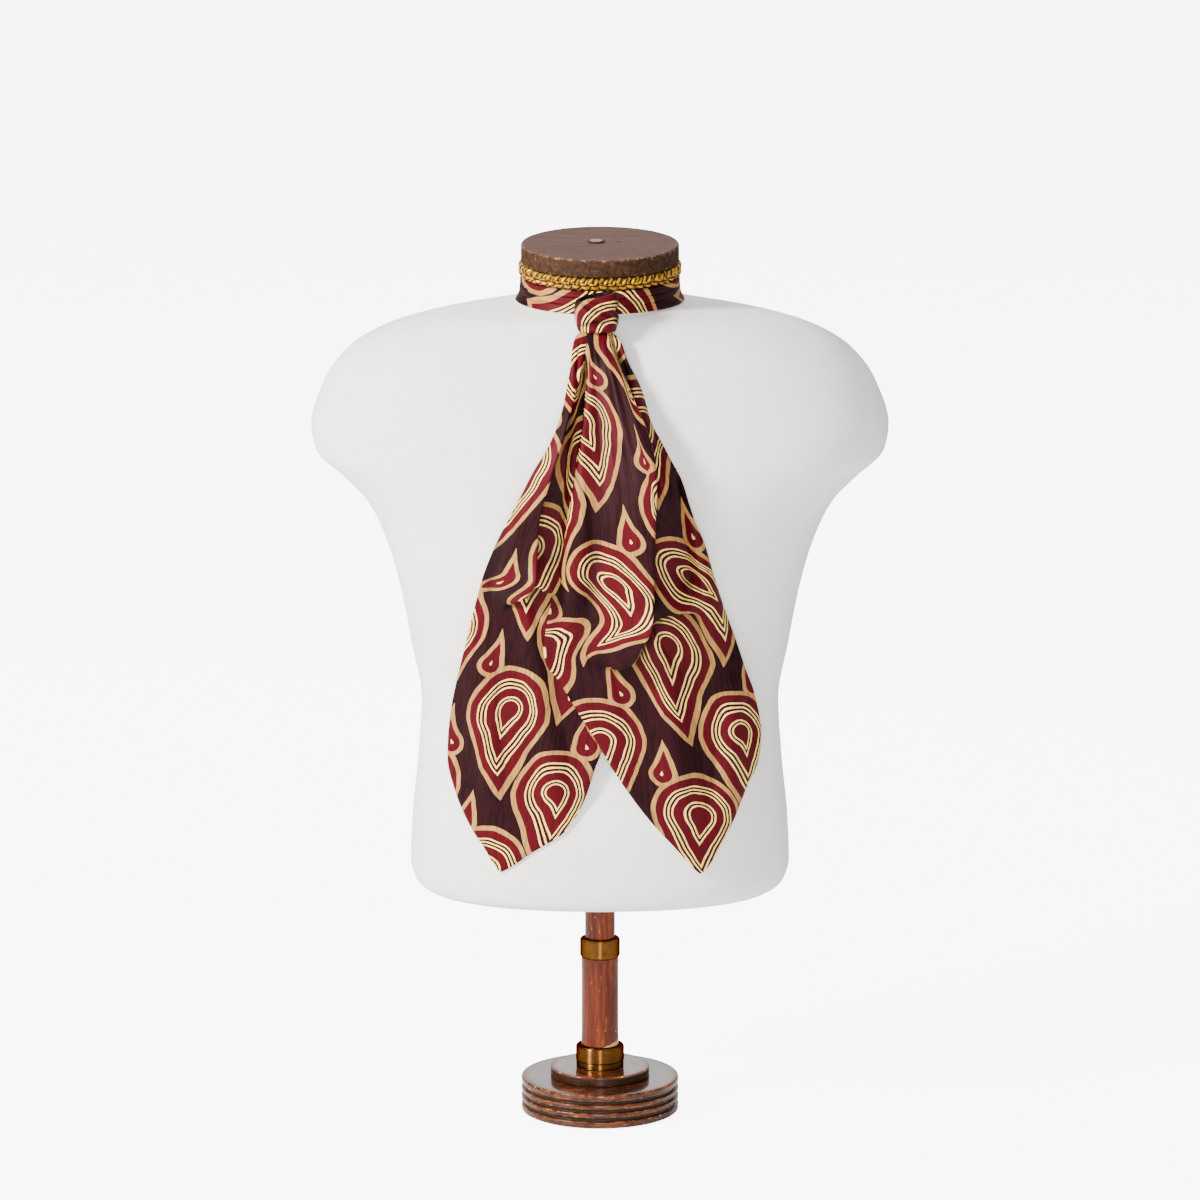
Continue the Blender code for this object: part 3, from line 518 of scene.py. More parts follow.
def buildBaseWood(tree):
    where = objectPlace(tree)
    edge = node(tree, "ShaderNodeAttribute", attribute_name="edge").outputs["Fac"]
    paintedShade = node(tree, "ShaderNodeAttribute", attribute_name="paintedShade").outputs["Fac"]
    around = mapped(tree, where, scale=(0.05, 0.05, 0.7))
    streaks = mottle(tree, around, 1.0, 2.0, 0.5)
    colour = ramp(tree, streaks, [(0.36, linear(40, 15, 7)), (0.55, linear(66, 28, 13)), (0.7, linear(104, 54, 26))])
    flatter = mapped(tree, where, scale=(0.55, 0.55, 1.5))
    chips = used(tree, chipsGroup, Place=flatter, Edge=edge, Size=0.3, Amount=0.185)
    scuffed = sums(tree, "MULTIPLY", chips["Scuffs"], sums(tree, "MULTIPLY", edge, 0.45))
    colour = blendColour(tree, scuffed, colour, linear(168, 98, 36))
    colour = blendColour(tree, chips["Chips"], colour, linear(224, 178, 96))
    # painted shade: the grooves and the step's side are coloured dark
    colour = blendColour(tree, paintedShade, colour, linear(34, 22, 14))
    shine = mottle(tree, where, 0.08, 2.0)
    height = sums(tree, "SUBTRACT", sums(tree, "MULTIPLY", streaks, 0.4), chips["Chips"])
    rough = sums(tree, "ADD", 0.16, sums(tree, "MULTIPLY", sums(tree, "ADD", shine, chips["Scuffs"]), 0.22))
    # the flat tops keep their gloss, the sides and grooves have lost most of it
    gloss = sums(tree, "SUBTRACT", 0.86, sums(tree, "ADD", sums(tree, "MULTIPLY", edge, 0.75), paintedShade))
    return {"Base Color": colour, "Roughness": rough, "Coat Weight": sums(tree, "MAXIMUM", gloss, 0.05),
            "Normal": heightBump(tree, height, 0.0003, 0.45)}


def buildBrass(tree):
    where = objectPlace(tree)
    edge = node(tree, "ShaderNodeAttribute", attribute_name="edge").outputs["Fac"]
    brushed = mottle(tree, mapped(tree, where, scale=(0.06, 0.06, 2.2)), 1.0, 3.0, 0.6)
    stain = mottle(tree, where, 0.11, 4.0, 0.6)
    colour = ramp(tree, brushed, [(0.3, linear(96, 60, 28)), (0.7, linear(118, 78, 38))])
    colour = blendColour(tree, ramp(tree, stain, [(0.5, 0.0), (0.8, 0.5)]), colour, linear(56, 31, 12))
    colour = blendColour(tree, sums(tree, "MULTIPLY", edge, 0.25), colour, linear(120, 78, 28))
    rough = sums(tree, "ADD", 0.2, sums(tree, "MULTIPLY", sums(tree, "ADD", brushed, stain), 0.12))
    return {"Base Color": colour, "Roughness": rough, "Metallic": 1.0,
            "Normal": heightBump(tree, brushed, 0.00006, 0.5)}


cotton = material("off-white cotton", buildCotton, Sheen_Weight=0.12, Sheen_Roughness=0.6)
gilt = material("gilt cord", buildGilt, Specular_IOR_Level=0.3)
capWood = material("worn brown cap", buildCapWood, Specular_IOR_Level=0.12)
plugWood = material("cap plug wood", buildPlugWood, Specular_IOR_Level=0.12)
columnWood = material("reddish lacquered column", buildColumnWood, Specular_IOR_Level=0.12, Coat_Weight=0.2,
                      Coat_Roughness=0.1)
baseWood = material("dark lacquered base", buildBaseWood, Specular_IOR_Level=0.14, Coat_Roughness=0.05)
# the turning marks run round the brass, so its highlights are drawn out upright
brass = material("aged brass", buildBrass, Anisotropic=1.0, Anisotropic_Rotation=0.25,
                 Specular_Tint=(0.3, 0.18, 0.1, 1.0))
print("finishes ready")

# ---------- the form ----------

# height, half width, front, back, squareness, tilt
formTable = [
    (679.0, 58.0, 54.5, 54.5, 2.00, 0.060),
    (668.0, 58.0, 54.5, 54.5, 2.00, 0.060),
    (658.0, 58.5, 55.0, 55.5, 2.00, 0.050),
    (652.0, 60.5, 56.0, 57.0, 2.00, 0.040),
    (648.0, 68.0, 57.5, 59.5, 2.00, 0.030),
    (645.0, 88.0, 59.5, 62.0, 2.05, 0.020),
    (640.0, 124.0, 62.5, 66.0, 2.10, 0.010),
    (629.0, 165.0, 68.5, 74.0, 2.15, 0.000),
    (611.0, 195.0, 79.0, 84.0, 2.20, 0.000),
    (585.0, 214.0, 92.0, 94.0, 2.25, 0.000),
    (552.0, 224.0, 104.0, 101.0, 2.30, 0.000),
    (534.0, 221.0, 108.5, 102.5, 2.30, 0.000),
    (514.0, 200.5, 111.5, 102.5, 2.30, 0.000),
    (494.0, 181.5, 113.0, 101.0, 2.30, 0.000),
    (460.0, 165.5, 112.5, 97.0, 2.30, 0.000),
    (422.0, 155.0, 107.5, 92.0, 2.30, 0.000),
    (379.0, 147.0, 101.5, 87.0, 2.30, 0.000),
    (335.0, 139.5, 98.0, 85.0, 2.30, 0.000),
    (291.0, 142.0, 101.5, 88.0, 2.30, 0.000),
    (240.0, 147.0, 107.5, 95.0, 2.30, 0.000),
    (205.0, 148.5, 107.5, 97.0, 2.30, 0.000),
    (192.0, 145.0, 104.0, 94.0, 2.30, 0.000),
    (185.0, 137.0, 96.5, 86.5, 2.30, 0.000),
    (183.0, 126.0, 86.0, 76.0, 2.30, 0.000),
]
halfWidth, frontDepth, backDepth, squareness, tilt = curvesOf(formTable)
formSettings = {"sides": 176, "rows": 190, "seamDeep": 0.5, "seamHalf": 0.9, "shadeBandLow": 665.5}


def formPoint(height, angle, out=0.0):
    power = 2.0 / squareness(height)
    c, s = np.cos(angle), np.sin(angle)
    depth = np.where(s < 0, frontDepth(height), backDepth(height))
    away = np.stack([c / halfWidth(height), s / depth])
    away = away / np.linalg.norm(away, axis=0)
    x = halfWidth(height) * np.copysign(np.abs(c) ** power, c) + out * away[0]
    y = depth * np.copysign(np.abs(s) ** power, s) + out * away[1]
    return np.stack([x, y, height + tilt(height) * y], axis=-1)


def formFront(x, height):
    power = squareness(height)
    share = np.clip(np.abs(x) / halfWidth(height), 0.0, 0.995)
    return frontDepth(height) * (1 - share**power) ** (1 / power)


def makeForm():
    s = formSettings
    walk = [679.0]
    knots = [row[0] for row in formTable]
    for upper, lower in zip(knots, knots[1:]):
        count = max(3, round(s["rows"] * (upper - lower) / 496.0))
        walk += [upper + (lower - upper) * (k + 1) / count for k in range(count)]
    heights = np.array(walk)[:, None]
    angles = (np.arange(s["sides"]) + 0.5)[None, :] * 2 * math.pi / s["sides"]
    plain = formPoint(heights, angles)
    # sewn seams down both sides and the middle of the back
    near = np.full(plain.shape[:2], 1e9)
    near = np.minimum(near, np.where(np.abs(plain[..., 0]) > 40, np.abs(plain[..., 1]), 1e9))
    near = np.minimum(near, np.where(plain[..., 1] > 0, np.abs(plain[..., 0]), 1e9))
    seam = bump(near / s["seamHalf"] / 2) * (heights < 640)
    paintedShadeBand = eased((heights + 0 * angles - s["shadeBandLow"]) / 1.5)  # painted shade: the cover is coloured dark under the gilt trim
    points = formPoint(heights, angles, -s["seamDeep"] * seam)
    faces = gridFaces(len(walk), s["sides"], closed=True)
    faces.append(tuple(range(s["sides"])))
    faces.append(tuple(range((len(walk) - 1) * s["sides"], len(walk) * s["sides"])))
    body = meshPiece("torsoCover", points.reshape(-1, 3), faces, cotton,
                     marks={"seam": seam.ravel(), "paintedShadeBand": paintedShadeBand.ravel()})
    place(body, "cotton", "torso")
    return body


report("form:", makeForm())

# ---------- turned and stacked pieces of the stand and neck ----------


def rounded(profile, steps=4):
    # profile rows are (radius, height, rounding, painted shade); the result adds the edge mark
    rows = []
    for i, (r, z, bend, paintedShade) in enumerate(profile):
        here = np.array([r, z], float)
        if bend <= 0 or i in (0, len(profile) - 1):
            rows.append((r, z, 0.0, paintedShade))
            continue
        before = np.array(profile[i - 1][:2], float) - here
        after = np.array(profile[i + 1][:2], float) - here
        before *= min(bend, 0.48 * np.linalg.norm(before)) / np.linalg.norm(before)
        after *= min(bend, 0.48 * np.linalg.norm(after)) / np.linalg.norm(after)
        for k in range(steps + 1):
            t = k / steps
            at = here + before * (1 - t) ** 2 + after * t * t
            rows.append((at[0], at[1], 1.0 - 0.4 * abs(2 * t - 1), paintedShade))
    return rows


def spread(rows, most):
    # long straight runs get rows between, so that marks fade near an edge
    out = [rows[0]]
    for low, high in zip(rows, rows[1:]):
        run = math.hypot(high[0] - low[0], high[1] - low[1])
        count = max(1, math.ceil(run / most))
        for k in range(1, count + 1):
            out.append(tuple(low[m] + (high[m] - low[m]) * k / count for m in range(4)))
    return out


def turned(name, profile, finish, slot, node, sides=112, most=2.2, steps=4):
    rows = spread(rounded(profile, steps), most)
    edge = np.array([row[2] for row in rows])
    for k in range(1, len(rows) - 1):
        if edge[k] == 0:
            edge[k] = 0.3 * max(edge[k - 1], edge[k + 1])
    angles = np.arange(sides) * 2 * math.pi / sides
    ring = np.stack([np.cos(angles), np.sin(angles)], axis=-1)
    points, marks, paintedShades = [], [], []
    for k, (r, z, mark, paintedShade) in enumerate(rows):
        if r < 0.01:
            points.append([[0.0, 0.0, z]])
            marks.append(0.0)
            paintedShades.append(paintedShade)
            continue
        points.append(np.column_stack([ring * r, np.full(sides, z)]))
        marks += [edge[k]] * sides
        paintedShades += [paintedShade] * sides
    faces = []
    start = 0
    for low, high in zip(points, points[1:]):
        following = start + len(low)
        for j in range(sides):
            m = (j + 1) % sides
            if len(low) == 1:
                faces.append((start, following + j, following + m))
            elif len(high) == 1:
                faces.append((start + j, start + m, following))
            else:
                faces.append((start + j, start + m, following + m, following + j))
        start = following
    piece = meshPiece(name, np.vstack(points), faces, finish, 50, marks={"edge": marks, "paintedShade": paintedShades})
    place(piece, slot, node)
    report("stand:", piece)
    return piece


standSettings = {"base": 62.0, "baseTall": 27.0, "grooves": 3, "grooveDeep": 2.2, "grooveTall": 1.8, "gap": 0.35,
                 "step": 39.0, "stepTall": 7.8, "lowFerrule": 19.1, "lowTall": 17.2, "column": 14.8,
                 "columnTall": 72.0, "highFerrule": 15.8, "highTall": 15.0, "post": 11.8, "postTop": 182.65}


def makeStand():
    s = standSettings
    bands = s["baseTall"] / (s["grooves"] + 1)
    profile = [(0, 0, 0, 0), (s["base"] - 3, 0, 0, 0), (s["base"], 0, 1.0, 0)]
    for k in range(1, s["grooves"] + 1):
        z = k * bands
        inner = s["base"] - s["grooveDeep"]
        profile += [(s["base"], z - s["grooveTall"], 0.8, 0), (inner, z - 0.5 * s["grooveTall"], 0.3, 1)]
        profile += [(inner, z + 0.5 * s["grooveTall"], 0.3, 1), (s["base"], z + s["grooveTall"], 0.8, 0)]
    profile += [(s["base"], s["baseTall"], 1.6, 0), (s["base"] - 6, s["baseTall"], 0, 0), (0, s["baseTall"], 0, 0)]
    turned("roundBase", profile, baseWood, "base_wood", "base_disc", 160)
    low, top = s["baseTall"] + s["gap"], s["baseTall"] + s["stepTall"]
    profile = [(0, low, 0, 0), (s["step"] - 0.8, low, 0, 0), (s["step"], low + 0.5, 0.4, 0.85)]
    profile += [(s["step"], top - 1.6, 0, 0.8), (s["step"], top, 1.4, 0), (s["step"] - 5, top, 0, 0), (0, top, 0, 0)]
    turned("baseStep", profile, baseWood, "base_wood", "base_step", 128)
    low, top = top + s["gap"], top + s["lowTall"]
    r = s["lowFerrule"]
    profile = [(0, low, 0, 0), (r - 0.4, low, 0.3, 0), (r - 0.4, low + 4.0, 0.5, 0), (r - 1.1, low + 4.35, 0.2, 0)]
    profile += [(r, low + 4.9, 0.6, 0), (r, top - 1.0, 0.9, 0), (r - 0.9, top, 0.5, 0), (r - 2.6, top, 0.4, 0)]
    profile += [(r - 3.6, top - 0.8, 0.3, 0), (0, top - 0.8, 0, 0)]
    turned("lowerFerrule", profile, brass, "brass", "lower_ferrule")
    low, top = top + s["gap"], top + s["columnTall"]
    r = s["column"]
    profile = [(0, low, 0, 0), (r, low, 0.5, 0), (r, low + 4, 2, 0), (r - 0.3, low + 12, 4, 0)]
    profile += [(r - 0.3, top - 6, 3, 0), (r - 0.1, top, 0.5, 0), (0, top, 0, 0)]
    turned("turnedColumn", profile, columnWood, "column_wood", "column", most=3.0)
    low, top = top + s["gap"], top + s["highTall"]
    r = s["highFerrule"]
    profile = [(0, low, 0, 0), (r - 0.6, low, 0.4, 0), (r, low + 0.8, 0.5, 0), (r, top - 1.0, 0.7, 0)]
    profile += [(r - 0.9, top, 0.4, 0), (r - 2.8, top, 0.3, 0), (r - 3.4, top - 0.5, 0, 0), (0, top - 0.5, 0, 0)]
    turned("upperFerrule", profile, brass, "brass", "upper_ferrule")
    low = top + s["gap"]
    profile = [(0, low, 0, 0), (s["post"], low, 0.4, 0), (s["post"], s["postTop"], 0.4, 0), (0, s["postTop"], 0, 0)]
    turned("upperPost", profile, columnWood, "base_wood", "upper_post", most=4.0)


makeStand()

capSettings = {"under": 679.35, "tall": 14.0, "halfWidth": 61.2, "halfDepth": 57.6, "edge": 1.7, "sides": 144,
               "plugRadius": 6.6, "plugRise": 1.2, "plugBack": 4.0, "plugLeft": 3.0, "tilt": 0.06}


def makeCap():
    s = capSettings
    top = s["under"] + s["tall"]
    rows = [(58.0, s["under"], 0, 0), (0.8, s["under"], 0.2, 0), (0.0, s["under"] + 0.8, 0.5, 0)]
    rows += [(0.0, z, 0.0, 0) for z in np.linspace(s["under"] + 2, top - s["edge"] - 1.5, 6)]
    for k in range(7):
        a = math.radians(15 * k)
        share = 1 - 0.5 * abs(k - 3) / 3
        rows.append((s["edge"] * (1 - math.cos(a)), top - s["edge"] * (1 - math.sin(a)), share, k / 6))
    rows += [(inset, top, 0.25 if inset < 4 else 0.0, 1.0) for inset in (3.2, 6, 10, 16, 24, 34, 46, 57)]
    angles = np.arange(s["sides"]) * 2 * math.pi / s["sides"]
    points, edge, upper = [], [], []
    for inset, z, mark, up in rows:
        x = (s["halfWidth"] - inset) * np.cos(angles)
        y = max(s["halfDepth"] - inset, 0.2) * np.sin(angles)
        points.append(np.column_stack([x, y, z + s["tilt"] * y]))
        edge += [mark] * s["sides"]
        upper += [up] * s["sides"]
    faces = gridFaces(len(rows), s["sides"], closed=True)
    faces += [tuple(range(s["sides"])), tuple(range((len(rows) - 1) * s["sides"], len(rows) * s["sides"]))]
    cap = meshPiece("neckCap", np.vstack(points), faces, capWood, 60, marks={"edge": edge, "upper": upper})
    report("neck:", place(cap, "cap_wood", "neck_cap"))
    # the plug stands just proud, with a fine dark ring round it
    points, edge = [], []
    rows = [(s["plugRadius"], 0.35, 1.0), (s["plugRadius"], s["plugRise"] - 0.4, 1.0)]
    rows += [(s["plugRadius"] - 0.35, s["plugRise"], 0.9), (s["plugRadius"] - 1.8, s["plugRise"], 0.8)]
    rows += [(s["plugRadius"] - 2.4, s["plugRise"], 0.0), (s["plugRadius"] - 3.5, s["plugRise"], 0.0), (0.4, s["plugRise"], 0.0)]
    angles = np.arange(64) * 2 * math.pi / 64
    for r, rise, mark in rows:
        y = s["plugBack"] + r * np.sin(angles)
        points.append(np.column_stack([r * np.cos(angles) - s["plugLeft"], y, top + rise + s["tilt"] * y]))
        edge += [mark] * 64
    faces = gridFaces(len(rows), 64, closed=True)
    faces += [tuple(range(64)), tuple(range((len(rows) - 1) * 64, len(rows) * 64))]
    plug = meshPiece("capPlug", np.vstack(points), faces, plugWood, 60, marks={"edge": edge})
    report("neck:", place(plug, "cap_wood", "cap_plug"))


makeCap()

# ---------- geometry nodes ----------


def nodeTree(name, inputs):
    tree = bpy.data.node_groups.new(name, "GeometryNodeTree")
    tree.interface.new_socket(name="Geometry", in_out="INPUT", socket_type="NodeSocketGeometry")
    for label, kind, start in inputs:
        socket = tree.interface.new_socket(name=label, in_out="INPUT", socket_type=kind)
        if start is not None:
            socket.default_value = start
    tree.interface.new_socket(name="Geometry", in_out="OUTPUT", socket_type="NodeSocketGeometry")
    return tree, tree.nodes.new("NodeGroupInput").outputs, tree.nodes.new("NodeGroupOutput").inputs[0]


def grown(name, points, edges, tree, values):
    # runs the tree on a path of points and gives back a plain mesh
    path = bpy.data.meshes.new(name + "Path")
    path.from_pydata((np.asarray(points, float) * mm).tolist(), edges, [])
    source = link(bpy.data.objects.new(name + "Path", path))
    modifier = source.modifiers.new("grow", "NODES")
    modifier.node_group = tree
    for item in tree.interface.items_tree:
        if item.in_out == "INPUT" and item.name in values:
            modifier[item.identifier] = values[item.name]
    graph = bpy.context.evaluated_depsgraph_get()
    mesh = bpy.data.meshes.new_from_object(source.evaluated_get(graph))
    source.modifiers.remove(modifier)
    bpy.data.objects.remove(source)
    mesh.name = name
    return link(bpy.data.objects.new(name, mesh))


def storeFloat(tree, geometry, label, value):
    made = node(tree, "GeometryNodeStoreNamedAttribute", {"Geometry": geometry, "Name": label}, data_type="FLOAT")
    feed(tree, made.inputs["Value"], value)
    return made.outputs[0]


def cordTree():
    tree, into, out = nodeTree("plaited cord", [("Strand Radius", "NodeSocketFloat", 0.002),
                                                ("Strand Sides", "NodeSocketInt", 16),
                                                ("Material", "NodeSocketMaterial", None)])
    path = node(tree, "GeometryNodeMeshToCurve", {0: into["Geometry"]}).outputs[0]
    length = node(tree, "GeometryNodeSplineParameter").outputs["Length"]
    path = storeFloat(tree, path, "alongCord", length)
    ring = node(tree, "GeometryNodeCurvePrimitiveCircle", {"Resolution": into["Strand Sides"],
                                                           "Radius": into["Strand Radius"]}).outputs[0]
    turn = sums(tree, "MULTIPLY", node(tree, "GeometryNodeSplineParameter").outputs["Factor"], 4 * math.pi)
    ring = storeFloat(tree, ring, "roundSin", sums(tree, "SINE", turn))
    ring = storeFloat(tree, ring, "roundCos", sums(tree, "COSINE", turn))
    tube = node(tree, "GeometryNodeCurveToMesh", {"Curve": path, "Profile Curve": ring}).outputs[0]
    smooth = node(tree, "GeometryNodeSetShadeSmooth", {0: tube}).outputs[0]
    real = node(tree, "GeometryNodeRealizeInstances", {0: smooth}).outputs[0]
    done = node(tree, "GeometryNodeSetMaterial", {"Geometry": real, "Material": into["Material"]}).outputs[0]
    tree.links.new(done, out)
    return tree


braidSettings = {"middle": 674.3, "periods": 18, "steps": 24, "strand": 1.75, "swingUp": 3.1, "swingOut": 1.3,
                 "out": 2.2}


def makeBraid():
    s = braidSettings
    count = s["periods"] * s["steps"]
    points, edges = [], []
    for strand in range(3):
        phase = 2 * math.pi * np.arange(count) / s["steps"] + 2 * math.pi * strand / 3
        angles = 2 * math.pi * np.arange(count) / count
        up = s["middle"] + s["swingUp"] * np.sin(phase)
        out = s["out"] + s["swingOut"] * np.sin(2 * phase)
        points.append(formPoint(up, angles, out))
        edges += [(strand * count + k, strand * count + (k + 1) % count) for k in range(count)]
    braid = grown("neckBraid", np.vstack(points), edges, cordTree(),
                  {"Strand Radius": s["strand"] * mm, "Strand Sides": 16, "Material": gilt})
    report("neck:", place(braid, "braid", "neck_braid"))


makeBraid()

# ---------- the cloth ----------

clothSettings = {"least": 1.9, "lipHang": 0.52, "half": 0.62, "edgeHalf": 1.05, "edgeRun": 2.6, "edgeDrop": 1.1, "edgeRoll": 4.0, "lift": 1.9, "wall": 1.8, "lapGap": 0.9,
                 "hangHeight": 462.0, "hangSlope": 0.03, "settleRun": 34.0, "knotLift": 5.0, "knotStack": 2.6,
                 "hollowReach": 9, "hollowFrom": 0.2, "hollowDeep": 4.6}

# height, left edge, ridge line, right edge
frontOutline = [
    (639.9, -8.6, 2.4, 7.4),
    (637.0, -9.2, 3.2, 9.0),
    (634.0, -10.9, 4.6, 12.6),
    (619.0, -10.9, 8.6, 20.3),
    (597.0, -11.7, 15.5, 31.2),
    (571.0, -13.3, 24.0, 39.6),
    (552.0, -16.4, 27.0, 49.1),
    (529.0, -20.3, 27.0, 60.8),
    (501.0, -25.0, 26.0, 70.2),
    (481.0, -28.0, 25.5, 79.6),
    (445.0, -34.7, 25.0, 89.7),
    (397.0, -42.1, 22.0, 105.3),
    (385.0, -39.8, 24.4, 109.2),
    (373.0, -31.2, 26.4, 113.1),
    (357.0, -21.8, 30.5, 118.6),
    (321.0, 0.0, 42.0, 124.8),
    (303.0, 10.1, 48.5, 122.5),
    (281.0, 24.2, 56.5, 113.1),
    (261.0, 39.0, 63.5, 105.0),
    (237.0, 60.0, 71.5, 92.8),
    (221.0, 73.5, 76.6, 83.0),
    (216.5, 78.0, 78.0, 78.0),
]
underOutline = [
    (639.9, -11.8, -5.5, 6.8),
    (637.0, -14.0, -7.4, 7.6),
    (633.0, -18.4, -9.8, 8.2),
    (610.5, -23.4, -16.8, 8.0),
    (574.0, -40.6, -35.5, 6.0),
    (532.0, -62.4, -51.5, 4.0),
    (492.0, -78.0, -60.5, 3.0),
    (436.0, -93.6, -62.0, 2.4),
    (372.0, -109.2, -58.0, 1.8),
    (340.0, -115.4, -57.0, 1.2),
    (318.0, -117.4, -54.6, 0.6),
    (304.0, -117.8, -57.0, -4.0),
    (276.0, -110.8, -62.8, -13.3),
    (253.0, -100.6, -68.6, -27.3),
    (234.0, -88.0, -73.4, -54.6),
    (223.0, -81.6, -76.2, -69.0),
    (218.0, -77.3, -77.3, -77.3),
]

# top, low, rise, left reach, right reach, lean, fade top, fade low
frontRidge = (646, 382, 27.0, 56.0, 10.5, 15.0, 0.17, 0.17)
underRidge = (642, 432, 21.0, 30.0, 9.0, 12.5, 0.30, 0.13)

# top, low, top x, mid x, low x, rise, left reach, right reach, fade top, fade low
frontFolds = [
    (660, 372, -7.0, -15.0, -32.0, 5.2, 10.0, 14.0, 0.15, 0.25),
    (590, 330, 52.0, 79.0, 95.0, 8.5, 13.0, 16.0, 0.25, 0.40),
    (642, 500, 13.0, 34.0, 54.0, 4.5, 6.0, 8.0, 0.20, 0.35),
    (430, 240, 44.0, 56.0, 72.0, 6.5, 28.0, 22.0, 0.35, 0.30),
    (410, 235, 100.0, 104.0, 93.0, 4.5, 18.0, 16.0, 0.35, 0.35),
]
underFolds = [
    (640, 400, -11.0, -22.0, -26.0, 5.0, 7.0, 16.0, 0.35, 0.35),
    (462, 330, -66.0, -52.0, -42.0, 6.5, 18.0, 15.0, 0.30, 0.35),
    (440, 245, -94.0, -92.0, -80.0, 5.5, 22.0, 22.0, 0.35, 0.30),
    (390, 245, -56.0, -40.0, -40.0, 5.0, 18.0, 20.0, 0.35, 0.35),
]

# finer soft creases, as the folds but shallow; a rise below 0 is a trough
frontCreases = [
    (636, 530, 2.0, 8.0, 16.0, 2.0, 5.0, 5.0, 0.10, 0.5),
    (636, 520, -6.0, -4.0, 1.0, -1.6, 5.0, 5.0, 0.10, 0.5),
    (634, 556, 7.0, 17.0, 25.0, -1.5, 4.0, 4.0, 0.10, 0.5),
    (438, 376, 41.0, 50.0, 60.0, -6.5, 11.0, 13.0, 0.25, 0.4),
    (604, 440, 3.0, 8.0, 6.0, -2.2, 7.0, 8.0, 0.3, 0.5),
    (540, 380, -12.0, -10.0, -20.0, -2.6, 8.0, 10.0, 0.4, 0.4),
    (500, 352, 62.0, 68.0, 82.0, -3.0, 7.0, 9.0, 0.35, 0.4),
    (424, 380, 36.0, 44.0, 58.0, 2.4, 6.0, 5.0, 0.4, 0.5),
    (402, 300, 8.0, 18.0, 30.0, -1.2, 9.0, 11.0, 0.4, 0.4),
    (380, 262, 76.0, 82.0, 84.0, -2.0, 8.0, 9.0, 0.4, 0.4),
    (340, 262, 24.0, 36.0, 50.0, 0.8, 7.0, 8.0, 0.4, 0.4),
    (330, 240, 66.0, 70.0, 74.0, -0.8, 6.0, 7.0, 0.4, 0.4),
]
underCreases = [
    (632, 500, -14.5, -28.0, -41.0, -3.4, 4.0, 3.5, 0.12, 0.4),
    (626, 560, -18.0, -24.0, -31.0, 1.6, 3.0, 3.0, 0.2, 0.5),
    (600, 500, -22.0, -44.0, -58.0, 0.9, 4.0, 4.0, 0.3, 0.5),
    (560, 430, -14.0, -18.0, -22.0, -0.9, 5.0, 6.0, 0.3, 0.4),
    (540, 420, -58.0, -74.0, -84.0, 2.0, 6.0, 6.0, 0.4, 0.4),
    (480, 370, -82.0, -88.0, -98.0, -2.4, 8.0, 9.0, 0.4, 0.4),
    (440, 372, -48.0, -40.0, -34.0, 1.2, 5.0, 5.0, 0.4, 0.5),
    (400, 262, -76.0, -74.0, -70.0, -1.4, 10.0, 11.0, 0.4, 0.4),
    (372, 264, -30.0, -22.0, -26.0, -0.9, 8.0, 8.0, 0.4, 0.4),
    (350, 250, -100.0, -96.0, -86.0, -0.9, 7.0, 7.0, 0.4, 0.4),
]


# a lip where a fold dies out: its line as (x, height) points, rise, reach above and below, fades at its
# ends, and the cloth hidden in its pocket
frontLips = [
    ([(-10, 389), (8, 390), (21, 395), (29, 405), (34, 418), (42, 430), (54, 435), (70, 430), (82, 420)],
     14.0, 26.0, 5.0, 0.22, 0.25, 16.0),
]
underLips = [
    ([(-80, 424), (-68, 438), (-57, 449), (-48, 453), (-39, 448), (-32, 436)], 8.5, 22.0, 4.0, 0.3, 0.3, 6.0),
]


def lipsAt(lips, x, height):
    # the rise, and the hidden cloth as a shift of the print; left of the line's direction is above it
    rise, shift = 0.0, 0.0
    for line, tall, reachAbove, reachBelow, fadeStart, fadeEnd, hidden in lips:
        marks = np.linspace(0, len(line) - 1, 60)
        lineX = np.interp(marks, range(len(line)), [p[0] for p in line])
        lineH = np.interp(marks, range(len(line)), [p[1] for p in line])
        keep = np.ones(7) / 7
        lineX[3:-3] = np.convolve(lineX, keep, "valid")
        lineH[3:-3] = np.convolve(lineH, keep, "valid")
        nearest = np.full(np.shape(x), 1e9)
        side = np.zeros(np.shape(x))
        along = np.zeros(np.shape(x))
        for k in range(len(marks) - 1):
            dx, dh = lineX[k + 1] - lineX[k], lineH[k + 1] - lineH[k]
            length = math.hypot(dx, dh)
            t = np.clip(((x - lineX[k]) * dx + (height - lineH[k]) * dh) / length**2, 0.0, 1.0)
            gapX, gapH = x - lineX[k] - t * dx, height - lineH[k] - t * dh
            gap = np.hypot(gapX, gapH)
            closer = gap < nearest
            nearest = np.where(closer, gap, nearest)
            side = np.where(closer, (dx * gapH - dh * gapX) / length, side)
            along = np.where(closer, (k + t) / (len(marks) - 1), along)
        reach = reachBelow + (reachAbove - reachBelow) * eased(side / 3.0 + 0.5)
        across = 0.5 + 0.5 * np.cos(np.pi * np.clip(nearest / reach, 0.0, 1.0))
        rise = rise + tall * across * eased(along / fadeStart) * eased((1 - along) / fadeEnd)
        far = np.hypot(x - np.mean(lineX), height - np.mean(lineH)) / (0.44 * np.ptp(lineX))
        shift = shift + hidden / 2 * np.tanh(side / 0.9) * bump(far * far)
    return rise, shift


def restDepth(x, height):
    s = clothSettings
    touch = formFront(x, height)
    below = s["hangHeight"] - height
    chest = formFront(x, s["hangHeight"]) - s["hangSlope"] * np.maximum(0.0, below)
    # above the hanging height the cloth lies on the form again
    free = chest - 20.0 * eased(-below / 30.0) - np.maximum(0.0, -below - 30.0)
    soft = 2.0
    return np.maximum(touch, free) + soft * np.log1p(np.exp(-np.abs(touch - free) / soft))


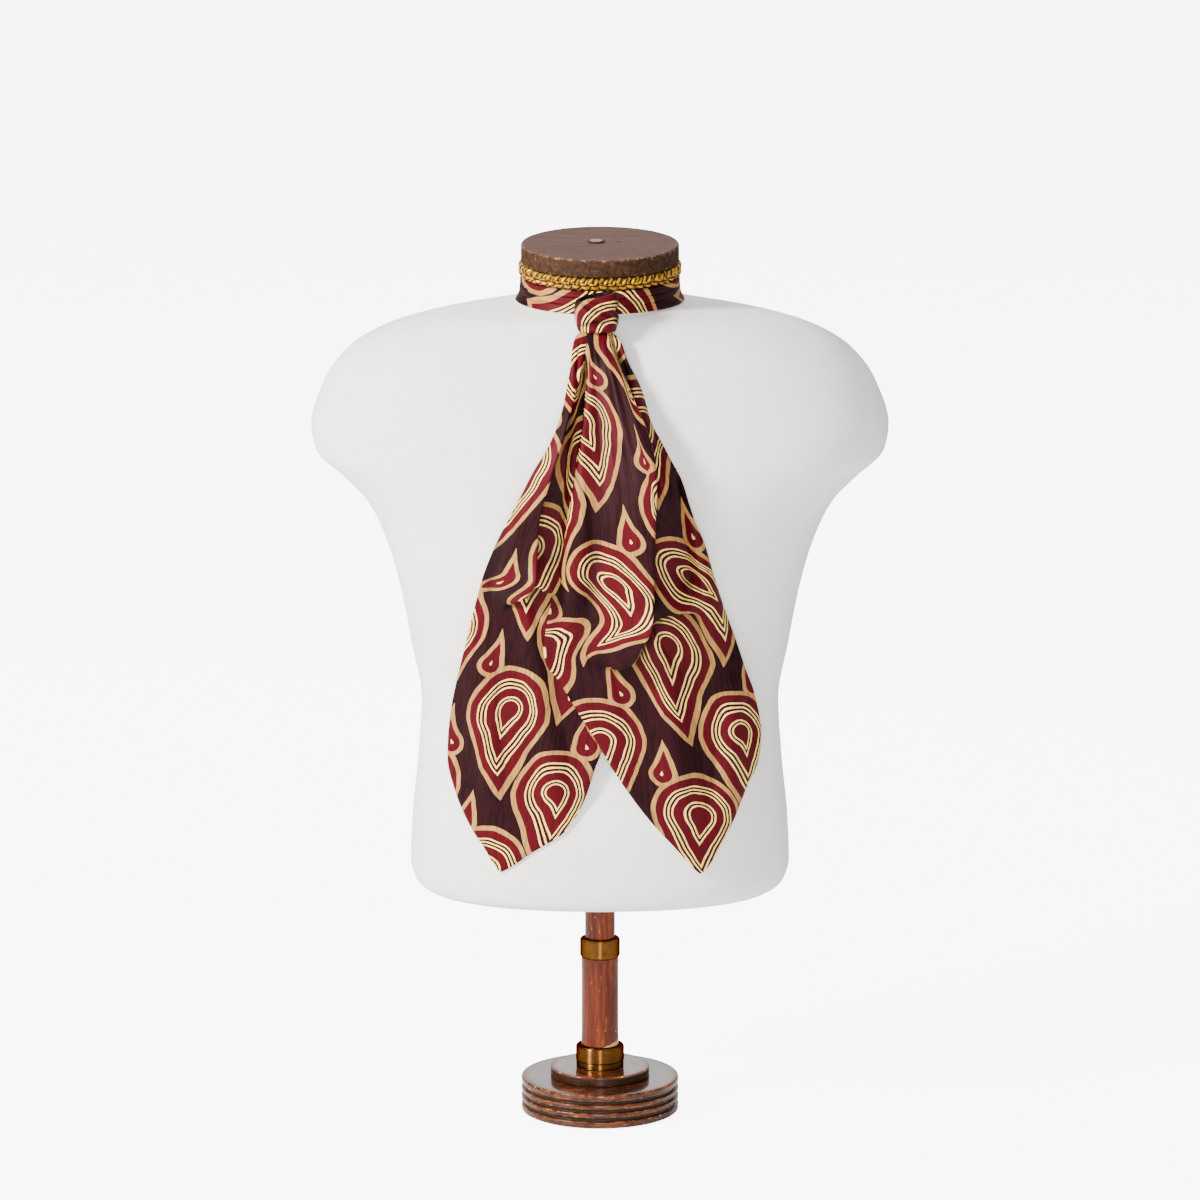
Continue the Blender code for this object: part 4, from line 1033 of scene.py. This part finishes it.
def flank(x, middle, leftReach, rightReach):
    reach = np.where(x < middle, leftReach, rightReach)
    return 0.5 + 0.5 * np.cos(np.pi * np.clip(np.abs(x - middle) / reach, 0.0, 1.0))


def strengthAlong(along, fadeTop, fadeLow):
    return (0.45 + 0.55 * eased(along * 2.2)) * eased(along / fadeTop) * eased((1 - along) / fadeLow)


def spreadAlong(along):
    return 0.5 + 0.5 * eased(along * 1.6)


def ridgeAt(ridge, line, x, height):
    top, low, rise, leftReach, rightReach, lean, fadeTop, fadeLow = ridge
    along = np.clip((top - height) / (top - low), 0.0, 1.0)
    wide = spreadAlong(along)
    across = flank(x, line(height), leftReach * wide, rightReach * wide)
    strength = strengthAlong(along, fadeTop, fadeLow)
    return rise * across * strength, lean * across * strength**2


def foldsAt(folds, x, height):
    rise = 0.0
    for top, low, topX, midX, lowX, tall, leftReach, rightReach, fadeTop, fadeLow in folds:
        along = np.clip((top - height) / (top - low), 0.0, 1.0)
        bow = topX * (1 - along) * (1 - 2 * along) + midX * 4 * along * (1 - along)
        middle = bow + lowX * along * (2 * along - 1)
        wide = spreadAlong(along)
        across = flank(x, middle, leftReach * wide, rightReach * wide)
        rise = rise + tall * across * strengthAlong(along, fadeTop, fadeLow)
    return rise


def underRise(x, height):
    s = clothSettings
    rise, lean = ridgeAt(underRidge, under["ridge"], x, height)
    lift = s["knotLift"] * eased((height - 595.0) / 35.0)
    return rise + lift + s["lift"] + foldsAt(underFolds, x, height), lean


def underSurface(x, height, fine=True):
    s = clothSettings
    rise, lean = underRise(x, height)
    lip = lipsAt(underLips, x, height)[0] if fine else 0.0
    if fine:
        rise = np.maximum(rise + foldsAt(underCreases, x, height) + lip, s["least"])
    return np.stack([x + lean, -(restDepth(x, height) + rise), height - s["lipHang"] * lip + 0 * x], axis=-1)


def frontSurface(x, height, fine=True):
    s = clothSettings
    lap = underRise(x, height)[0] + s["wall"] + s["lapGap"]
    settled = eased((x - under["right"](height) - 3.0) / s["settleRun"])
    rise, lean = ridgeAt(frontRidge, front["ridge"], x, height)
    stack = s["knotStack"] * eased((height - 590.0) / 45.0)
    depth = restDepth(x, height) + lap * (1 - settled) + s["lift"] * settled + stack + rise
    depth = depth + foldsAt(frontFolds, x, height)
    lip = lipsAt(frontLips, x, height)[0] if fine else 0.0
    if fine:
        depth = np.maximum(depth + foldsAt(frontCreases, x, height) + lip, restDepth(x, height) + s["least"])
    return np.stack([x + lean, -depth, height - s["lipHang"] * lip + 0 * x], axis=-1)


def bladeOf(outline, corners, ridge, surface, grid, axis, tucks, lips, flankHides):
    left, line, right = curvesOf(outline)
    return {"outline": outline, "corners": corners, "ridgeTable": ridge, "surface": surface, "grid": grid,
            "left": left, "ridge": line, "right": right, "axis": axis, "tucks": tucks, "lips": lips,
            "flankHides": flankHides}


# grid is columns left of the ridge, down its flank, right of it, and rows.
# axis is the print's middle line at the knot and at the point. A tuck hides cloth: its x at the top and low
# end, its heights, and the hidden width.
front = bladeOf(frontOutline, (393.0, 318.0), frontRidge, frontSurface, (60, 18, 50, 236), (-2.0, 70.0),
                [(8.0, 32.0, 640, 470, 16.0), (-6.0, -20.0, 640, 520, 9.0)], frontLips, 26.0)
under = bladeOf(underOutline, (304.0, 319.0), underRidge, underSurface, (52, 18, 48, 220), (-6.0, -74.0),
                [(-8.0, -38.0, 640, 450, 14.0)], underLips, 20.0)


def bladePlace(blade, u, v):
    top = blade["outline"][0][0]
    tipHeight, tipX = blade["outline"][-1][:2]
    isLeft = u < 0.5
    corner = np.where(isLeft, blade["corners"][0], blade["corners"][1])
    inward = 1 - np.abs(2 * u - 1)
    edgeHeight = top + (corner - top) * v
    ridgeHeight = top + (tipHeight - top) * v
    height = edgeHeight + (ridgeHeight - edgeHeight) * inward
    edgeX = np.where(isLeft, blade["left"](edgeHeight), blade["right"](edgeHeight))
    x = edgeX + (blade["ridge"](ridgeHeight) - edgeX) * inward
    hemHeight = corner + (tipHeight - corner) * inward
    cornerX = np.where(isLeft, blade["left"](corner), blade["right"](corner))
    straightX = cornerX + (tipX - cornerX) * inward
    hemX = np.where(isLeft, blade["left"](hemHeight), blade["right"](hemHeight))
    return x + (hemX - straightX) * v**4, height


def stations(blade, v):
    # columns follow the ridge and the foot of its steep flank
    low = np.full(len(v), 0.5)
    high = np.full(len(v), 0.97)
    top, foot, rightReach = blade["ridgeTable"][0], blade["ridgeTable"][1], blade["ridgeTable"][4]
    for turn in range(26):
        middle = (low + high) / 2
        x, height = bladePlace(blade, middle, v)
        along = np.clip((top - height) / (top - foot), 0.0, 1.0)
        inside = x < blade["ridge"](height) + rightReach * spreadAlong(along)
        low = np.where(inside, middle, low)
        high = np.where(inside, high, middle)
    left, steep, right, rows = blade["grid"]
    shares = [np.full(len(v), 0.5 * k / left) for k in range(left)]
    shares += [0.5 + (middle - 0.5) * k / steep for k in range(steep)]
    shares += [middle + (1 - middle) * k / right for k in range(right + 1)]
    return np.stack(shares, axis=1)


def clothCoordinates(blade, x, height):
    # arc length across from the print's middle line, and down from the knot
    top = blade["outline"][0][0]
    tip = blade["outline"][-1][0]
    xs = np.arange(-150.0, 151.0, 1.0)
    hs = np.arange(tip - 4, top + 4, 2.0)
    gridX, gridH = np.meshgrid(xs, hs)
    surface = blade["surface"](gridX, gridH, False)
    step = np.linalg.norm(np.diff(surface, axis=1), axis=-1)
    across = np.concatenate([np.zeros((len(hs), 1)), np.cumsum(step, axis=1)], axis=1)
    middle = blade["axis"][0] + (blade["axis"][1] - blade["axis"][0]) * (top - hs) / (top - tip)
    across -= np.array([np.interp(m, xs, row) for m, row in zip(middle, across)])[:, None]
    for topX, lowX, high, low, hidden in blade["tucks"]:
        along = np.clip((high - gridH) / (high - low), 0.0, 1.0)
        line = topX + (lowX - topX) * along
        across += hidden * (1 - eased(along)) * np.tanh((gridX - line) / 0.7) / 2
    high, low, rightReach = blade["ridgeTable"][0], blade["ridgeTable"][1], blade["ridgeTable"][4]
    along = np.clip((high - gridH) / (high - low), 0.0, 1.0)
    line = blade["ridge"](gridH) + 0.6 * rightReach * spreadAlong(along)
    across += blade["flankHides"] * eased((1 - along) / 0.5) * np.tanh((gridX - line) / 0.7) / 2
    centre = blade["surface"](middle, hs, False)
    down = np.concatenate([[0.0], np.cumsum(np.linalg.norm(np.diff(centre, axis=0), axis=-1))])
    down = down[-1] - down
    column = np.clip(x - xs[0], 0, len(xs) - 1.001)
    row = np.clip((height - hs[0]) / 2.0, 0, len(hs) - 1.001)
    i, j = row.astype(int), column.astype(int)
    fi, fj = row - i, column - j
    u = (across[i, j] * (1 - fj) + across[i, j + 1] * fj) * (1 - fi)
    u = u + (across[i + 1, j] * (1 - fj) + across[i + 1, j + 1] * fj) * fi
    return u, down[i] * (1 - fi) + down[i + 1] * fi - lipsAt(blade["lips"], x, height)[1]


def blurred(grid, reach):
    # a running mean over both directions
    for axis in (0, 1):
        wide = [(reach, reach) if k == axis else (0, 0) for k in (0, 1)]
        total = np.cumsum(np.pad(grid, wide, mode="edge"), axis=axis)
        total = np.insert(total, 0, 0.0, axis=axis)
        count = 2 * reach + 1
        high = np.take(total, range(count, total.shape[axis]), axis=axis)
        grid = (high - np.take(total, range(0, total.shape[axis] - count), axis=axis)) / count
    return grid


def paintedShadeOf(blade, x, height):
    # painted shade mask: how far a point lies below the cloth round it, from 0 to 1
    s = clothSettings
    low = blade["outline"][-1][0] - 10
    xs = np.arange(-150.0, 151.0, 1.0)
    hs = np.arange(low, 660.0, 1.0)
    gridX, gridH = np.meshgrid(xs, hs)
    depth = -blade["surface"](gridX, gridH)[..., 1]
    below = blurred(blurred(depth, s["hollowReach"]), s["hollowReach"]) - depth
    share = np.clip((below - s["hollowFrom"]) / s["hollowDeep"], 0.0, 1.0)
    i = np.clip(height - hs[0], 0, len(hs) - 1.001)
    j = np.clip(x - xs[0], 0, len(xs) - 1.001)
    a, b = i.astype(int), j.astype(int)
    fi, fj = i - a, j - b
    upper = share[a, b] * (1 - fj) + share[a, b + 1] * fj
    return upper * (1 - fi) + (share[a + 1, b] * (1 - fj) + share[a + 1, b + 1] * fj) * fi


def wavy(points, size, amount, seed):
    # gentle uneven swells, the same on each run
    shift = Vector((seed, seed * 0.7, seed * 1.3))
    return np.array([noise.noise(Vector(p) / size + shift) for p in points]) * amount


def makeBlade(name, blade, printShift, seed):
    s = clothSettings
    rows = blade["grid"][3]
    v = np.linspace(0.0, 1.0, rows)
    u = stations(blade, v)
    columns = u.shape[1]
    x, height = bladePlace(blade, u, np.repeat(v[:, None], columns, axis=1))
    middle = blade["surface"](x, height)
    nudge = 0.35
    over = blade["surface"](x + nudge, height) - blade["surface"](x - nudge, height)
    up = blade["surface"](x, height + nudge) - blade["surface"](x, height - nudge)
    normal = np.cross(over, up)
    normal /= np.linalg.norm(normal, axis=-1, keepdims=True)
    # distance to the nearest edge, for the soft roll where the cloth is turned
    across = np.linalg.norm(np.diff(middle, axis=1), axis=-1)
    fromLeft = np.concatenate([np.zeros((rows, 1)), np.cumsum(across, axis=1)], axis=1)
    toRight = fromLeft[:, -1:] - fromLeft
    down = np.linalg.norm(np.diff(middle, axis=0), axis=-1)
    toHem = np.concatenate([np.cumsum(down[::-1], axis=0)[::-1], np.zeros((1, columns))], axis=0)
    edge = np.minimum(np.minimum(fromLeft, toRight), toHem)
    swell = wavy(middle.reshape(-1, 3), 24.0, 0.5, seed) + wavy(middle.reshape(-1, 3), 9.0, 0.14, seed + 5)
    swell = swell.reshape(rows, columns) * eased((640 - height) / 50)
    half = s["half"] + (s["edgeHalf"] - s["half"]) * bump(np.maximum(edge - 0.8, 0) / s["edgeRun"])
    half *= 0.55 + 0.45 * eased(edge / 0.9)
    middle = middle + normal * (swell - s["edgeDrop"] * bump(edge / s["edgeRoll"]))[..., None]
    outer = (middle + normal * half[..., None]).reshape(-1, 3)
    inner = (middle - normal * half[..., None]).reshape(-1, 3)
    flatU, flatV = clothCoordinates(blade, x, height)
    flat = np.stack([flatU + printShift[0], printShift[1] - flatV], axis=-1).reshape(-1, 2)
    back = rows * columns
    faces = gridFaces(rows, columns) + [face[::-1] for face in gridFaces(rows, columns, start=back)]
    border = [(0, j) for j in range(columns)] + [(i, columns - 1) for i in range(1, rows)]
    border += [(rows - 1, j) for j in range(columns - 2, -1, -1)] + [(i, 0) for i in range(rows - 2, 0, -1)]
    paintedShade = paintedShadeOf(blade, x, height).ravel()
    points = [outer, inner]
    uvs = [flat, flat]
    paintedShades = [paintedShade, paintedShade]
    count = len(border)
    rim = 2 * back
    arc = (-52, 0, 52)
    for turn in arc:
        a = math.radians(turn)
        ring = []
        for k, here in enumerate(border):
            along = middle[border[(k + 1) % count]] - middle[border[k - 1]]
            outward = np.cross(normal[here], along)
            outward /= max(np.linalg.norm(outward), 1e-9)
            h = half[here]
            ring.append(middle[here] + outward * 0.8 * math.cos(a) - normal[here] * h * math.sin(a))
        points.append(np.array(ring))
        uvs.append(np.array([flat[i * columns + j] for i, j in border]))
        paintedShades.append(np.array([paintedShade[i * columns + j] for i, j in border]))
    loops = [[i * columns + j for i, j in border]]
    loops += [[rim + m * count + k for k in range(count)] for m in range(len(arc))]
    loops.append([back + i * columns + j for i, j in border])
    for first, second in zip(loops, loops[1:]):
        for k in range(count):
            m = (k + 1) % count
            faces.append((first[k], first[m], second[m], second[k]))
    piece = meshPiece(name, np.vstack(points), faces, silk, 75, uv=np.vstack(uvs),
                      marks={"paintedShade": np.concatenate(paintedShades)})
    report("cloth:", piece)
    return piece


underBlade = makeBlade("underBlade", under, (22.0, 60.0), 3.1)
frontBlade = makeBlade("frontBlade", front, (-10.0, 35.0), 7.7)
place(underBlade, "silk", "under_blade")
place(frontBlade, "silk", "front_blade")

# ---------- the knot and the neck band ----------

knotSettings = {"centre": -2.3, "halfWidth": 17.3, "back": 61.6, "front": 86.5, "bottom": 638.0, "topLeft": 662.0,
                "topRight": 669.0, "wall": 1.5, "squareness": 2.45, "bulge": 3.0, "crease": 645.5, "creaseDeep": 3.4,
                "creaseHalf": 2.2, "clear": 1.0, "sides": 132, "coreInset": 3.0}


def knotPoint(angle, share, inset):
    # share runs from the knot's lower edge, 0, to its upper edge, 1
    s = knotSettings
    topHeight = (s["topLeft"] + s["topRight"]) / 2 + (s["topRight"] - s["topLeft"]) / 2 * np.cos(angle)
    height = s["bottom"] + share * (topHeight - s["bottom"])
    middle = (s["bottom"] + s["topRight"]) / 2
    away = (height - middle) / (s["topRight"] - middle)
    swell = s["bulge"] * (1 - away * away)
    facing = np.maximum(0.0, -np.sin(angle))
    crease = s["creaseDeep"] * bump((height - s["crease"] - 3.0 * np.cos(angle)) / s["creaseHalf"]) * facing
    crease += 2.6 * bump((height - 655.5 + 8.0 * np.cos(angle)) / 2.0) * facing
    crease += 1.8 * bump((height - 661.5 + 6.0 * np.cos(angle)) / 1.6) * facing
    dent = 3.4 * bump((height - 654.0) / 3.2) * np.maximum(0.0, np.cos(angle)) ** 2
    backDepth = np.maximum(s["back"], formFront(0.0, height) + s["clear"])
    halfDepth = (s["front"] - backDepth) / 2
    power = 2.0 / s["squareness"]
    c, n = np.cos(angle), np.sin(angle)
    wide = s["halfWidth"] - s["bulge"] + swell - inset - dent
    deep = halfDepth - inset - crease + np.where(n < 0, swell - s["bulge"], 0.0)
    x = s["centre"] + wide * np.copysign(np.abs(c) ** power, c)
    y = -(s["front"] + backDepth) / 2 + deep * np.copysign(np.abs(n) ** power, n)
    return np.stack([x + 0 * height, y, height + 0 * x], axis=-1)


def makeKnot():
    s = knotSettings
    angles = (np.arange(s["sides"]) + 0.5) * 2 * math.pi / s["sides"]
    outside = [(0.0, 1.0), (0.008, 0.55), (0.03, 0.15)] + [(t, 0.0) for t in np.linspace(0.06, 0.93, 34)]
    outside += [(0.96, 0.12), (0.985, 0.45), (1.0, 1.0)]
    inside = [(0.99, s["wall"] + 0.2)] + [(t, s["wall"] + 0.3) for t in np.linspace(0.94, 0.06, 12)]
    inside += [(0.01, s["wall"] + 0.1)]
    section = outside + inside
    rings = [knotPoint(angles, share, inset) for share, inset in section]
    points = np.stack(rings, axis=0)
    faces = gridFaces(len(section), s["sides"], closed=True)
    last = (len(section) - 1) * s["sides"]
    for j in range(s["sides"]):
        m = (j + 1) % s["sides"]
        faces.append((last + j, j, m, last + m))
    outer = knotPoint(angles, 0.5, 0.0)
    around = np.concatenate([[0.0], np.cumsum(np.linalg.norm(np.diff(outer, axis=0), axis=-1))])
    flatU = np.repeat(around[None, :], len(section), axis=0)
    flatV = points[..., 2] - s["bottom"]
    lean = math.radians(38)
    turnedU = flatU * math.cos(lean) - flatV * math.sin(lean)
    turnedV = flatU * math.sin(lean) + flatV * math.cos(lean)
    flat = np.stack([turnedU + 51.0, turnedV - 30.5], axis=-1).reshape(-1, 2)
    # the folds, the right side and both openings lie in shade
    height = points[..., 2]
    turn = np.repeat(angles[None, :], len(section), axis=0)
    lines = bump((height - s["crease"] - 3.0 * np.cos(turn)) / 1.5)
    lines += 0.7 * bump((height - 655.5 + 8.0 * np.cos(turn)) / 1.3)
    lines += 0.5 * bump((height - 661.5 + 6.0 * np.cos(turn)) / 1.1)
    lines *= np.maximum(0.0, -np.sin(turn))
    lines += eased((np.cos(turn) - 0.74) / 0.2)
    lines[len(outside):] = 1.0
    wrap = meshPiece("knotWrap", points.reshape(-1, 3), faces, silk, 75, uv=flat,
                     marks={"paintedShade": np.clip(0.9 * lines, 0.0, 1.0).ravel()})
    report("cloth:", place(wrap, "silk", "knot_wrap"))
    return wrap


def makeKnotCore():
    # the gathered layers inside the turn, seen in its upper opening
    s = knotSettings
    angles = (np.arange(s["sides"]) + 0.5) * 2 * math.pi / s["sides"]
    rows = [(0.135, 0.5), (0.16, 0.1), (0.2, 0.0), (0.35, 0.0), (0.5, 0.0), (0.7, 0.0), (0.86, 0.2), (0.9, 0.7)]
    rows += [(0.93, 1.6), (0.95, 3.2), (0.955, 5.0), (0.94, 6.8), (0.93, 8.2)]
    rings = []
    for share, inset in rows:
        pleat = 0.45 * np.sin(9 * angles + 0.7) + 0.25 * np.sin(14 * angles + 2.0)
        ruffle = max(0.0, (share - 0.86) / 0.1) if inset < 8 else 0.4
        ring = knotPoint(angles, share, s["coreInset"] + inset + 0.3)
        ring[:, 2] += pleat * ruffle * 1.6
        rings.append(ring)
    points = np.stack(rings, axis=0)
    faces = gridFaces(len(rows), s["sides"], closed=True)
    faces += [tuple(range(s["sides"])), tuple(range((len(rows) - 1) * s["sides"], len(rows) * s["sides"]))]
    around = angles / (2 * math.pi) * 80
    flat = np.stack([np.repeat(around[None, :], len(rows), axis=0), points[..., 2] - 600], axis=-1).reshape(-1, 2)
    # the whole core is marked plain, so it shows the dark ground as painted shade in the opening
    core = meshPiece("knotCore", points.reshape(-1, 3), faces, silk, 75, uv=flat,
                     marks={"plain": np.ones(len(flat))})
    report("cloth:", place(core, "silk", "knot_core"))
    return core


bandSettings = {"tall": 19.0, "thick": 3.0, "clear": 0.9, "middle": 659.5, "sides": 220}


def makeBand():
    s = bandSettings
    angles = np.arange(s["sides"]) * 2 * math.pi / s["sides"]
    ups = np.concatenate([np.linspace(-1.0, 1.0, 41), np.linspace(0.97, -0.97, 9)])
    rings = []
    lengths = []
    for k, up in enumerate(ups):
        if k < 41:
            slack = 0.05 * np.sin(3 * angles + 1.0) + 0.03 * np.sin(7 * angles)
            groove = 0.34 * bump((up + 0.28 - slack) / 0.05) + 0.34 * bump((up - 0.38 - slack * 0.8) / 0.05)
            groove = groove + 0.10 * bump((up - 0.75 + slack) / 0.04)
            edge = 1 - 0.5 * np.clip((abs(up) - 0.86) / 0.14, 0, 1) ** 2
            out = edge - groove
        else:
            out = np.full(s["sides"], 0.12)
        rings.append(formPoint(s["middle"] + up * s["tall"] / 2 + 0 * angles, angles, s["clear"] + out * s["thick"]))
        lengths.append(up)
    points = np.stack(rings, axis=0)
    faces = gridFaces(len(ups), s["sides"], closed=True)
    last = (len(ups) - 1) * s["sides"]
    for j in range(s["sides"]):
        m = (j + 1) % s["sides"]
        faces.append((last + j, j, m, last + m))
    around = angles * 59.0
    along = np.repeat(around[None, :], len(ups), axis=0)
    flat = np.stack([np.repeat((ups * 9.5)[:, None], s["sides"], axis=1) + 14.0, along], axis=-1).reshape(-1, 2)
    band = meshPiece("neckBand", points.reshape(-1, 3), faces, silk, 75, uv=flat)
    report("cloth:", place(band, "silk", "neck_band"))
    return band


knotWrap = makeKnot()
knotCore = makeKnotCore()
neckBand = makeBand()

# ---------- slip stitches that close each blade down the back ----------


def stitchTree():
    tree, into, out = nodeTree("slip stitches", [("Spacing", "NodeSocketFloat", 0.005),
                                                 ("Length", "NodeSocketFloat", 0.002),
                                                 ("Thread Radius", "NodeSocketFloat", 0.0002),
                                                 ("Material", "NodeSocketMaterial", None)])
    path = node(tree, "GeometryNodeMeshToCurve", {0: into["Geometry"]}).outputs[0]
    spaced = node(tree, "GeometryNodeResampleCurve", {"Curve": path}, mode="LENGTH")
    feed(tree, spaced.inputs["Length"], into["Spacing"])
    tangent = node(tree, "GeometryNodeInputTangent").outputs[0]
    thread = node(tree, "GeometryNodeMeshCylinder", {"Vertices": 6, "Radius": into["Thread Radius"],
                                                     "Depth": into["Length"]}).outputs[0]
    turn = node(tree, "FunctionNodeAlignEulerToVector", {"Vector": tangent}, axis="Z").outputs[0]
    copies = node(tree, "GeometryNodeInstanceOnPoints", {"Points": spaced.outputs[0], "Instance": thread,
                                                         "Rotation": turn}).outputs[0]
    real = node(tree, "GeometryNodeRealizeInstances", {0: copies}).outputs[0]
    done = node(tree, "GeometryNodeSetMaterial", {"Geometry": real, "Material": into["Material"]}).outputs[0]
    tree.links.new(done, out)
    return tree


def buildThread(tree):
    where = objectPlace(tree)
    fibre = mottle(tree, where, 3.0, 2.0)
    colour = ramp(tree, fibre, [(0.3, linear(70, 22, 30)), (0.7, linear(104, 34, 44))])
    return {"Base Color": colour, "Roughness": sums(tree, "ADD", 0.4, sums(tree, "MULTIPLY", fibre, 0.2)),
            "Normal": heightBump(tree, fibre, 0.00005, 0.5)}


thread = material("sewing thread", buildThread)
seamTree = stitchTree()
stitchSettings = {"spacing": 5.5, "length": 2.4, "thread": 0.16, "behind": 0.95}


def makeStitches(name, blade, share):
    s = stitchSettings
    v = np.linspace(0.14, 0.93, 120)
    x, height = bladePlace(blade, np.full(len(v), share), v)
    middle = blade["surface"](x, height)
    nudge = 0.35
    over = blade["surface"](x + nudge, height) - blade["surface"](x - nudge, height)
    up = blade["surface"](x, height + nudge) - blade["surface"](x, height - nudge)
    normal = np.cross(over, up)
    normal /= np.linalg.norm(normal, axis=-1, keepdims=True)
    points = middle - normal * s["behind"]
    edges = [(k, k + 1) for k in range(len(v) - 1)]
    made = grown(name, points, edges, seamTree, {"Spacing": s["spacing"] * mm, "Length": s["length"] * mm,
                                                 "Thread Radius": s["thread"] * mm, "Material": thread})
    report("sewing:", place(made, "silk"))
    return made


frontStitches = makeStitches("frontBackSeam", front, 0.72)
underStitches = makeStitches("underBackSeam", under, 0.30)


def sheetArea(piece, share=0.5):
    # one side of a thin closed cloth
    return share * sum(face.area for face in piece.data.polygons)


for piece in (frontBlade, underBlade, knotWrap, neckBand):
    print("area", piece.name, round(sheetArea(piece), 5))

# ---------- floor, light and camera ----------


def buildFloor(tree):
    where = objectPlace(tree)
    tone = mottle(tree, where, 0.002, 2.0)
    seen = tree.nodes.new("ShaderNodeLightPath").outputs["Is Camera Ray"]
    return {"Base Color": ramp(tree, tone, [(0.3, 0.88), (0.7, 0.9)]),
            "Roughness": sums(tree, "ADD", 0.7, sums(tree, "MULTIPLY", tone, 0.1)),
            "Emission Strength": sums(tree, "MULTIPLY", seen, 7.0)}


floorFinish = material("pale floor", buildFloor, Emission_Color=(1.0, 1.0, 1.0, 1.0))
far = 20000.0
floor = meshPiece("floor", [(-far, -far, -0.5), (far, -far, -0.5), (far, far, -0.5), (-far, far, -0.5)],
                  [(0, 1, 2, 3)], floorFinish, outward=False)


def softLight(name, at, target, size, power, colour=(1.0, 1.0, 1.0)):
    lamp = bpy.data.lights.new(name, "AREA")
    lamp.shape = "RECTANGLE"
    lamp.size, lamp.size_y = size
    lamp.energy = power
    lamp.color = colour
    obj = link(bpy.data.objects.new(name, lamp))
    obj.location = at
    obj.rotation_euler = (Vector(target) - Vector(at)).to_track_quat("-Z", "Y").to_euler()
    return obj


softLight("keyLight", (-2.3, -1.6, 1.9), (0, 0, 0.42), (0.55, 0.55), 288.0, (1.0, 0.985, 0.96))
softLight("fillLight", (1.6, -3.0, 0.9), (0, 0, 0.4), (1.8, 1.8), 6.0, (0.97, 0.985, 1.0))
softLight("stripLight", (0.05, -3.2, 0.9), (0, 0, 0.35), (0.55, 1.7), 78.0)
softLight("backLight", (0.0, 3.5, 1.05), (0, 0, 0.03), (3.0, 1.1), 15.0)
softLight("topLight", (0.2, 0.9, 2.3), (0, 0, 0.4), (2.2, 2.2), 44.0)

world = bpy.data.worlds.new("studio")
bpy.context.scene.world = world
world.use_nodes = True
world.node_tree.nodes["Background"].inputs["Color"].default_value = (1.0, 1.0, 1.0, 1.0)
world.node_tree.nodes["Background"].inputs["Strength"].default_value = 0.40

cameraSettings = {"elevation": 12.5, "away": 6.0, "across": 0.936, "height": 0.411}


def makeCamera():
    s = cameraSettings
    data = bpy.data.cameras.new("photoView")
    data.sensor_width = 36.0
    data.lens = 36.0 * s["away"] / s["across"]
    data.clip_end = 60.0
    obj = link(bpy.data.objects.new("photoView", data))
    tipUp = math.radians(s["elevation"])
    target = Vector((0.0, 0.0, s["height"]))
    obj.location = target + s["away"] * Vector((0.0, -math.cos(tipUp), math.sin(tipUp)))
    obj.rotation_euler = (target - obj.location).to_track_quat("-Z", "Y").to_euler()
    bpy.context.scene.camera = obj


makeCamera()
